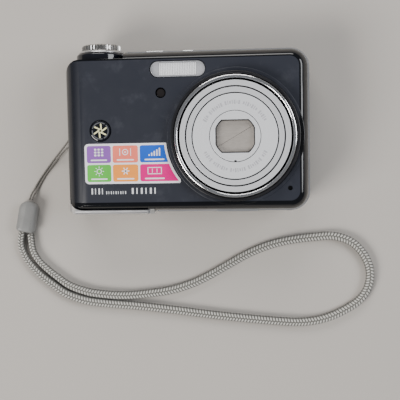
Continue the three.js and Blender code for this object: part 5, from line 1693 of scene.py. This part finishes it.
    def symbol(self, kind: Pictogram, x: float, y: float) -> list[Form]:
        """The strokes of one pictogram about a point."""
        if kind is Pictogram.PIXELS:
            spots = [(x + 1.35 * i, y + 1.1 * k) for i in (-1, 0, 1) for k in (-1, 0, 1)]
            return [self.bar(*spot, 0.95, 0.75) for spot in spots]
        if kind is Pictogram.FOCUS:
            sides = [self.bar(x + 2.1 * s, y, 0.3, 2.9) for s in (-1, 1)]
            return sides + [self.loop(x, y, 1.2, 0.32), self.bar(x, y, 0.7, 0.7)]
        if kind is Pictogram.WAVES:
            return [self.bar(x - 2.0 + i, y - 1.3 + 0.3 * i, 0.55, 0.7 + 0.6 * i) for i in range(5)]
        if kind is Pictogram.SUN:
            rays = [
                self.bar(x + 1.6 * math.cos(a), y + 1.6 * math.sin(a), 0.6, 0.26, math.degrees(a))
                for a in (math.pi / 4 * k for k in range(8))
            ]
            return rays + [self.loop(x, y, 1.0, 0.3)]
        if kind is Pictogram.STAR:
            return [self.bar(x, y, 3.0, 0.42, 60 * k) for k in range(3)]
        rails = [self.bar(x, y + 1.2 * s, 5.6, 0.3) for s in (-1, 1)]
        posts = [self.bar(x + 2.6 * s, y, 0.3, 2.4) for s in (-1, 1)]
        return rails + posts + [self.bar(x + 0.9 * s, y, 0.25, 1.6) for s in (-1, 1)]

    def symbols(self) -> Form:
        """All the pictograms, each over a printed line."""
        strokes: list[Form] = []
        for kind, (x, y) in zip(Pictogram, self.tile_spans()):
            right = min(x[1], x[0] + self.symbol_reach)
            middle = (x[0] + right) / 2
            strokes += self.symbol(kind, middle, y[1] - 2.5)
            strokes.append(self.bar(middle, y[0] + 1.05, 0.68 * (right - x[0]), 0.55))
        return Form.gathered(strokes)

    def printed_marks(self) -> Form:
        """The row of plain marks under the label: tall and short ones, as on a gauge."""
        z = (self.face + 0.004, self.face + 0.029)
        y = self.label.y[0] - self.marks_drop
        marks = []
        for start, count, pitch, height in self.mark_groups:
            for i in range(count):
                x = start + pitch * i
                width = pitch * (0.28 if i % 2 else 0.42)
                marks.append(Form.plate((x, x + width), (y, y + height), z, 0.1, 3))
        return Form.gathered(marks)

    def build(self) -> None:
        """Makes the details of the front."""
        bench = self.bench
        bench.piece("flash_glass", self.flash_window(), CLEAR, "flash_window", ["flash_window"])
        bench.piece("flash_surround", self.flash_frame(), FLASH_FRAME, "flash_window")
        bench.piece("flash_ribs", self.flash_ribs(), FLASH_RIBS, "flash_window")
        bench.carried_over(MIRROR, "flash_reflector")
        bench.carried_over(CLEAR, "flash_tube")
        bench.carried_over(BLACK_SATIN, "microphone")
        bench.piece("lamp_glass", self.focus_lamp(), LAMP_GLASS, "af_lamp", ["af_lamp"])
        bench.piece("emblem_disc", self.emblem_disc(), GLOSS_BLACK, "emblem", ["emblem"])
        bench.piece("emblem_ring", self.emblem_ring(), CHROME, "emblem")
        bench.piece("emblem_mark", self.emblem_mark(), EMBLEM_YELLOW, "emblem")
        label = self.label_plate()
        bench.piece("label_plate", label, LABEL_WHITE, "feature_label", ["feature_label"])
        colours = {
            "purple": (0.26, 0.10, 0.42), "coral": (0.90, 0.20, 0.14), "blue": (0.01, 0.10, 0.55),
            "green": (0.10, 0.48, 0.06), "orange": (0.93, 0.32, 0.05), "magenta": (0.70, 0.0, 0.20),
        }
        for (name, colour), spans in zip(colours.items(), self.tile_spans()):
            ink = Moulded(f"ink_{name}", "printed_label", colour, 0.32, 3.0, 0.002, marks=0.12)
            bench.piece(f"tile_{name}", self.tile(spans), ink, "feature_label")
        bench.piece("tile_symbols", self.symbols(), LABEL_WHITE, "feature_label")
        bench.piece("front_marks", self.printed_marks(), PRINT_GREY, "front_cover")


# ---------------------------------------------------------------- controls


@dataclass
class Controls:
    """The mode dial on its pod, the top buttons, and the controls and window of the back."""

    bench: Bench
    teeth: int = 38
    tooth_depth: float = 0.35
    bore: float = 1.5
    shaft_radius: float = 1.2
    shoulder: float = 0.9
    pip_radius: float = 4.6
    keeper: tuple[float, float, float] = (2.0, 0.6, 1.0)
    button_edge: float = 0.3
    pad_bore: float = 3.4
    pointer: tuple[float, float] = (6.1, 0.55)
    rocker_edge: float = 0.35
    groove_start: float = 3.6
    groove_pitch: float = 0.9
    groove_half: tuple[float, float] = (0.2, 1.3)
    groove_depth: float = 0.18
    screen_line: float = 0.25

    def pod(self) -> Form:
        """The round pod, with a rounded shoulder."""
        box = Box.of("dial_pod")
        low, top = box.y
        radius, edge = box.radius, self.shoulder
        x, y = radius - edge, top - edge
        shoulder = [(x + edge * math.cos(a), y + edge * math.sin(a)) for a in quarter(6)]
        profile = [(self.bore, low), (radius, low), *shoulder, (self.bore, top)]
        return Form.turned(profile, (0, 0), 112).facing_y(box.middle.x, box.middle.z)

    def cap(self) -> Form:
        """The silver shoulder between the pod and the dial."""
        box = Box.of("pod_cap")
        radius = box.radius
        low, top = box.y
        profile = [
            (self.bore, low), (radius, low), (radius, low + 0.12), (radius - 0.25, low + 0.55),
            (radius - 0.7, top - 0.1), (radius - 1.0, top), (self.bore, top),
        ]
        return Form.turned(profile, (0, 0), 112).facing_y(box.middle.x, box.middle.z)

    def dial(self) -> Form:
        """The knurled dial on its shaft."""
        box = Box.of("mode_dial")
        radius = box.radius
        low, top = Box.of("pod_cap").y[1] + GAP / 2, box.y[1]
        bm = bmesh.new()
        bmesh.ops.create_circle(bm, cap_ends=True, radius=radius, segments=4 * self.teeth)
        bm.verts.ensure_lookup_table()
        inner = [v for i, v in enumerate(bm.verts) if i % 4 in (0, 1)]
        share = 1 - self.tooth_depth / radius
        bmesh.ops.scale(bm, verts=inner, vec=(share, share, 1))
        bmesh.ops.translate(bm, verts=bm.verts, vec=(0, 0, low))
        knurled = Form(bm).drawn_out(top - low)
        envelope = Form.turned([
            (0, low), (radius - 0.2, low), (radius, low + 0.2), (radius, top - 0.75),
            (radius - 0.25, top - 0.4), (radius - 0.8, top - 0.12), (radius - 1.5, top),
            (radius - 1.9, top), (radius - 2.0, top - 0.1), (0, top - 0.1),
        ], (0, 0), 96)
        shaft = Form.disc((0, 0), self.shaft_radius, (box.y[0], low + 0.5), 32)
        dial = knurled.common(envelope).plus(shaft)
        return dial.facing_y(box.middle.x, box.middle.z)

    def dial_marks(self) -> Form:
        """Eight small raised pips round the dial's top, one of them long."""
        box = Box.of("mode_dial")
        top = box.y[1]
        pips = []
        for i in range(8):
            length = 1.6 if i == 0 else 0.8
            x = (self.pip_radius - length, self.pip_radius)
            pip = Form.plate(x, about(0, 0.25), (top - 0.12, top - 0.02), 0.2, 4)
            pips.append(pip.spun(45 * i))
        return Form.gathered(pips).facing_y(box.middle.x, box.middle.z)

    def top_button(self, node: str) -> Form:
        """A long button, crowned, with the flange that keeps it in."""
        box = Box.of(node)
        lap_x, lap_z, height = self.keeper
        length, _, width = box.size
        low, top = box.y
        button = Form.slot((0, 0), (length - lap_x, width - lap_z), box.y)
        button.rounded_at(top, self.button_edge, 4)
        keeper = Form.slot((0, 0), (length, width), (low, low + height))
        return button.plus(keeper).facing_y(box.middle.x, box.middle.z)

    def round_button(self, node: str, dish: float) -> Form:
        """A round rear button with a rounded rim and a shallow dish."""
        box = Box.of(node)
        low, top = box.z
        radius, edge = box.radius, self.button_edge
        x, z = radius - edge, low + edge
        rim = [(x + edge * math.cos(a), z - edge * math.sin(a)) for a in quarter(5)]
        dished = [(0, low + dish), (0.5 * radius, low + 0.6 * dish)]
        profile = [*dished, *reversed(rim), (radius, top), (0, top)]
        return Form.turned(profile, tuple(box.middle.xy), 56)

    def pad(self) -> Form:
        """The four-way ring, with a rounded edge on both sides."""
        box = Box.of("four_way_pad")
        radius, inner = box.radius, self.pad_bore
        low, top = box.z
        profile = [
            (inner, low + 0.35), (inner + 0.1, low + 0.15), (inner + 0.4, low),
            (radius - 1.0, low + 0.06), (radius - 0.35, low + 0.2), (radius, low + 0.6),
            (radius, top), (inner, top),
        ]
        return Form.turned(profile, tuple(box.middle.xy), 96)

    def pad_marks(self) -> Form:
        """Four small pointers on the pad."""
        box = Box.of("four_way_pad")
        low = box.z[0]
        spot, size = self.pointer
        z = (low - 0.02, low + 0.1)
        marks = [Form.disc((spot, 0), size, z, 3).spun(90 * i) for i in range(4)]
        return Form.gathered(marks).moved(box.middle.x, box.middle.y, 0)

    def rocker(self) -> Form:
        """The zoom rocker, with a ridge at each end."""
        box = Box.of("zoom_rocker")
        low = box.z[0]
        form = Form.slot((0, 0), box.size[:2], box.z)
        half_x, half_y = self.groove_half
        z = (low - 1, low + self.groove_depth)
        for side in (-1, 1):
            for i in range(3):
                x = about(side * (self.groove_start + self.groove_pitch * i), half_x)
                form.minus(Form.plate(x, about(0, half_y), z, 0.15, 3))
        form.bevelled(self.rocker_edge, 4, lambda edge: self.is_outer_edge(edge, low))
        return form.moved(box.middle.x, box.middle.y, 0)

    def is_outer_edge(self, edge: bmesh.types.BMEdge, low: float) -> bool:
        """Whether an edge is on the rocker's outline, and not on one of its grooves."""
        end = self.groove_start + 2 * self.groove_pitch + self.groove_half[0] + GAP / 3
        side = self.groove_half[1] + GAP / 6
        at_face = all(abs(v.co.z - low) < SAME_PLACE for v in edge.verts)
        beyond = all(abs(v.co.x) > end or abs(v.co.y) > side for v in edge.verts)
        return at_face and beyond and edge.calc_face_angle(0.0) > 0.5

    def window(self) -> Form:
        """The display's glass."""
        box = Box.of("lcd_window")
        return Form.plate(box.x, box.y, box.z, 2.5, 8).rounded_at(box.z[0], 0.18, 3)

    def screen_frame(self) -> Form:
        """A thin pale line printed round the picture, just behind the glass."""
        box = Box.of("lcd_panel")
        z = about(Box.of("lcd_window").z[0], 0.02)
        line = -self.screen_line
        inner = Form.plate(grown(box.x, line), grown(box.y, line), grown(z, 1), 0.6, 4)
        return Form.plate(box.x, box.y, z, 0.8, 4).minus(inner)

    def build(self) -> None:
        """Makes the controls."""
        bench = self.bench
        bench.piece("pod_shell", self.pod(), GLOSS_BLACK, "dial_pod", ["dial_pod"], SOFT)
        bench.piece("pod_shoulder", self.cap(), CAP_SILVER, "pod_cap", ["pod_cap"], SOFT)
        bench.piece("knurled_dial", self.dial(), DIAL_CHROME, "mode_dial", ["mode_dial"])
        bench.piece("dial_pips", self.dial_marks(), MARK_GREY, "mode_dial")
        for node in ("shutter_button", "power_button"):
            bench.piece(f"{node}_cap", self.top_button(node), CHROME, node, [node])
        for node, dish, finish in (
            ("menu_button", 0.1, BUTTON_SILVER),
            ("play_button", 0.1, BUTTON_SILVER),
            ("ok_button", 0.15, CHROME),
        ):
            bench.piece(f"{node}_cap", self.round_button(node, dish), finish, node, [node], SOFT)
        bench.piece("pad_ring", self.pad(), BUTTON_SILVER, "four_way_pad", ["four_way_pad"], SOFT)
        bench.piece("pad_pointers", self.pad_marks(), BLACK_SATIN, "four_way_pad")
        bench.piece("rocker_cap", self.rocker(), BUTTON_SILVER, "zoom_rocker", ["zoom_rocker"])
        bench.piece("display_glass", self.window(), DARK_GLASS, "lcd_window", ["lcd_window"])
        bench.piece("display_line", self.screen_frame(), MARK_GREY, "lcd_window")
        bench.carried_over(RUBBER, "pad_gimbal")


# ---------------------------------------------------------------- studio


@dataclass(frozen=True)
class Lamp:
    """One soft rectangular light, in metres and watts."""

    name: str
    spot: tuple[float, float, float]
    size: Span
    watts: float
    tint: Colour


@dataclass
class Studio:
    """The surface below, the lights and the camera."""

    eye: tuple[float, float, float] = (0.03064, -0.00627, 0.31263)
    turn: tuple[float, float, float] = (-0.0750, 0.0859, -0.0185)
    lens_mm: float = 68.8
    sensor_mm: float = 36.0
    table_side: float = 3.0
    room_colour: Colour = (0.93, 0.96, 1.0)
    room_strength: float = 0.22
    lamps: tuple[Lamp, ...] = (
        Lamp("key", (-1.0, -0.7, 0.9), (0.8, 0.6), 26.0, (1.0, 0.97, 0.93)),
        Lamp("fill", (1.2, 0.3, 0.9), (0.9, 0.7), 17.0, (0.95, 0.97, 1.0)),
        Lamp("back", (-0.2, 1.3, 0.8), (1.2, 0.6), 15.0, (1.0, 0.98, 0.96)),
    )

    def table(self) -> None:
        """The plain surface that the camera lies on."""
        bm = bmesh.new()
        bmesh.ops.create_grid(bm, x_segments=8, y_segments=8, size=self.table_side / 2)
        mesh = Form(bm).as_mesh("table")
        item = linked("table", mesh)
        mesh.materials.append(Tabletop("tabletop", "stage").material())

    def eyepoint(self) -> None:
        """The scene's camera."""
        data = bpy.data.cameras.new("eye")
        data.lens = self.lens_mm
        data.sensor_width = self.sensor_mm
        data.clip_start = 0.01
        item = linked("eye", data)
        item.location = self.eye
        item.rotation_euler = self.turn
        bpy.context.scene.camera = item

    def light(self, lamp: Lamp) -> None:
        """Hangs one lamp, which points at the camera."""
        data = bpy.data.lights.new(lamp.name, "AREA")
        data.shape = "RECTANGLE"
        data.size, data.size_y = lamp.size
        data.energy = lamp.watts
        data.color = lamp.tint
        item = linked(lamp.name, data)
        item.location = lamp.spot
        item.rotation_euler = (-Vector(lamp.spot)).to_track_quat("-Z", "Y").to_euler()

    def build(self) -> None:
        """Sets everything round the camera."""
        self.table()
        self.eyepoint()
        for lamp in self.lamps:
            self.light(lamp)
        world = bpy.data.worlds.new("room")
        world.use_nodes = True
        background = world.node_tree.nodes["Background"]
        background.inputs["Color"].default_value = (*self.room_colour, 1.0)
        background.inputs["Strength"].default_value = self.room_strength
        bpy.context.scene.world = world


def main() -> None:
    """Builds the whole object and everything round it."""
    logging.basicConfig(level=logging.INFO, format="%(message)s")
    Studio().build()
    bench = Bench()
    Strap(bench).build()
    Housing(bench).build()
    Lens(bench).build()
    FrontDetails(bench).build()
    Controls(bench).build()
    log.info("%d pieces", len(bench.made))


if __name__ == "__main__":
    main()
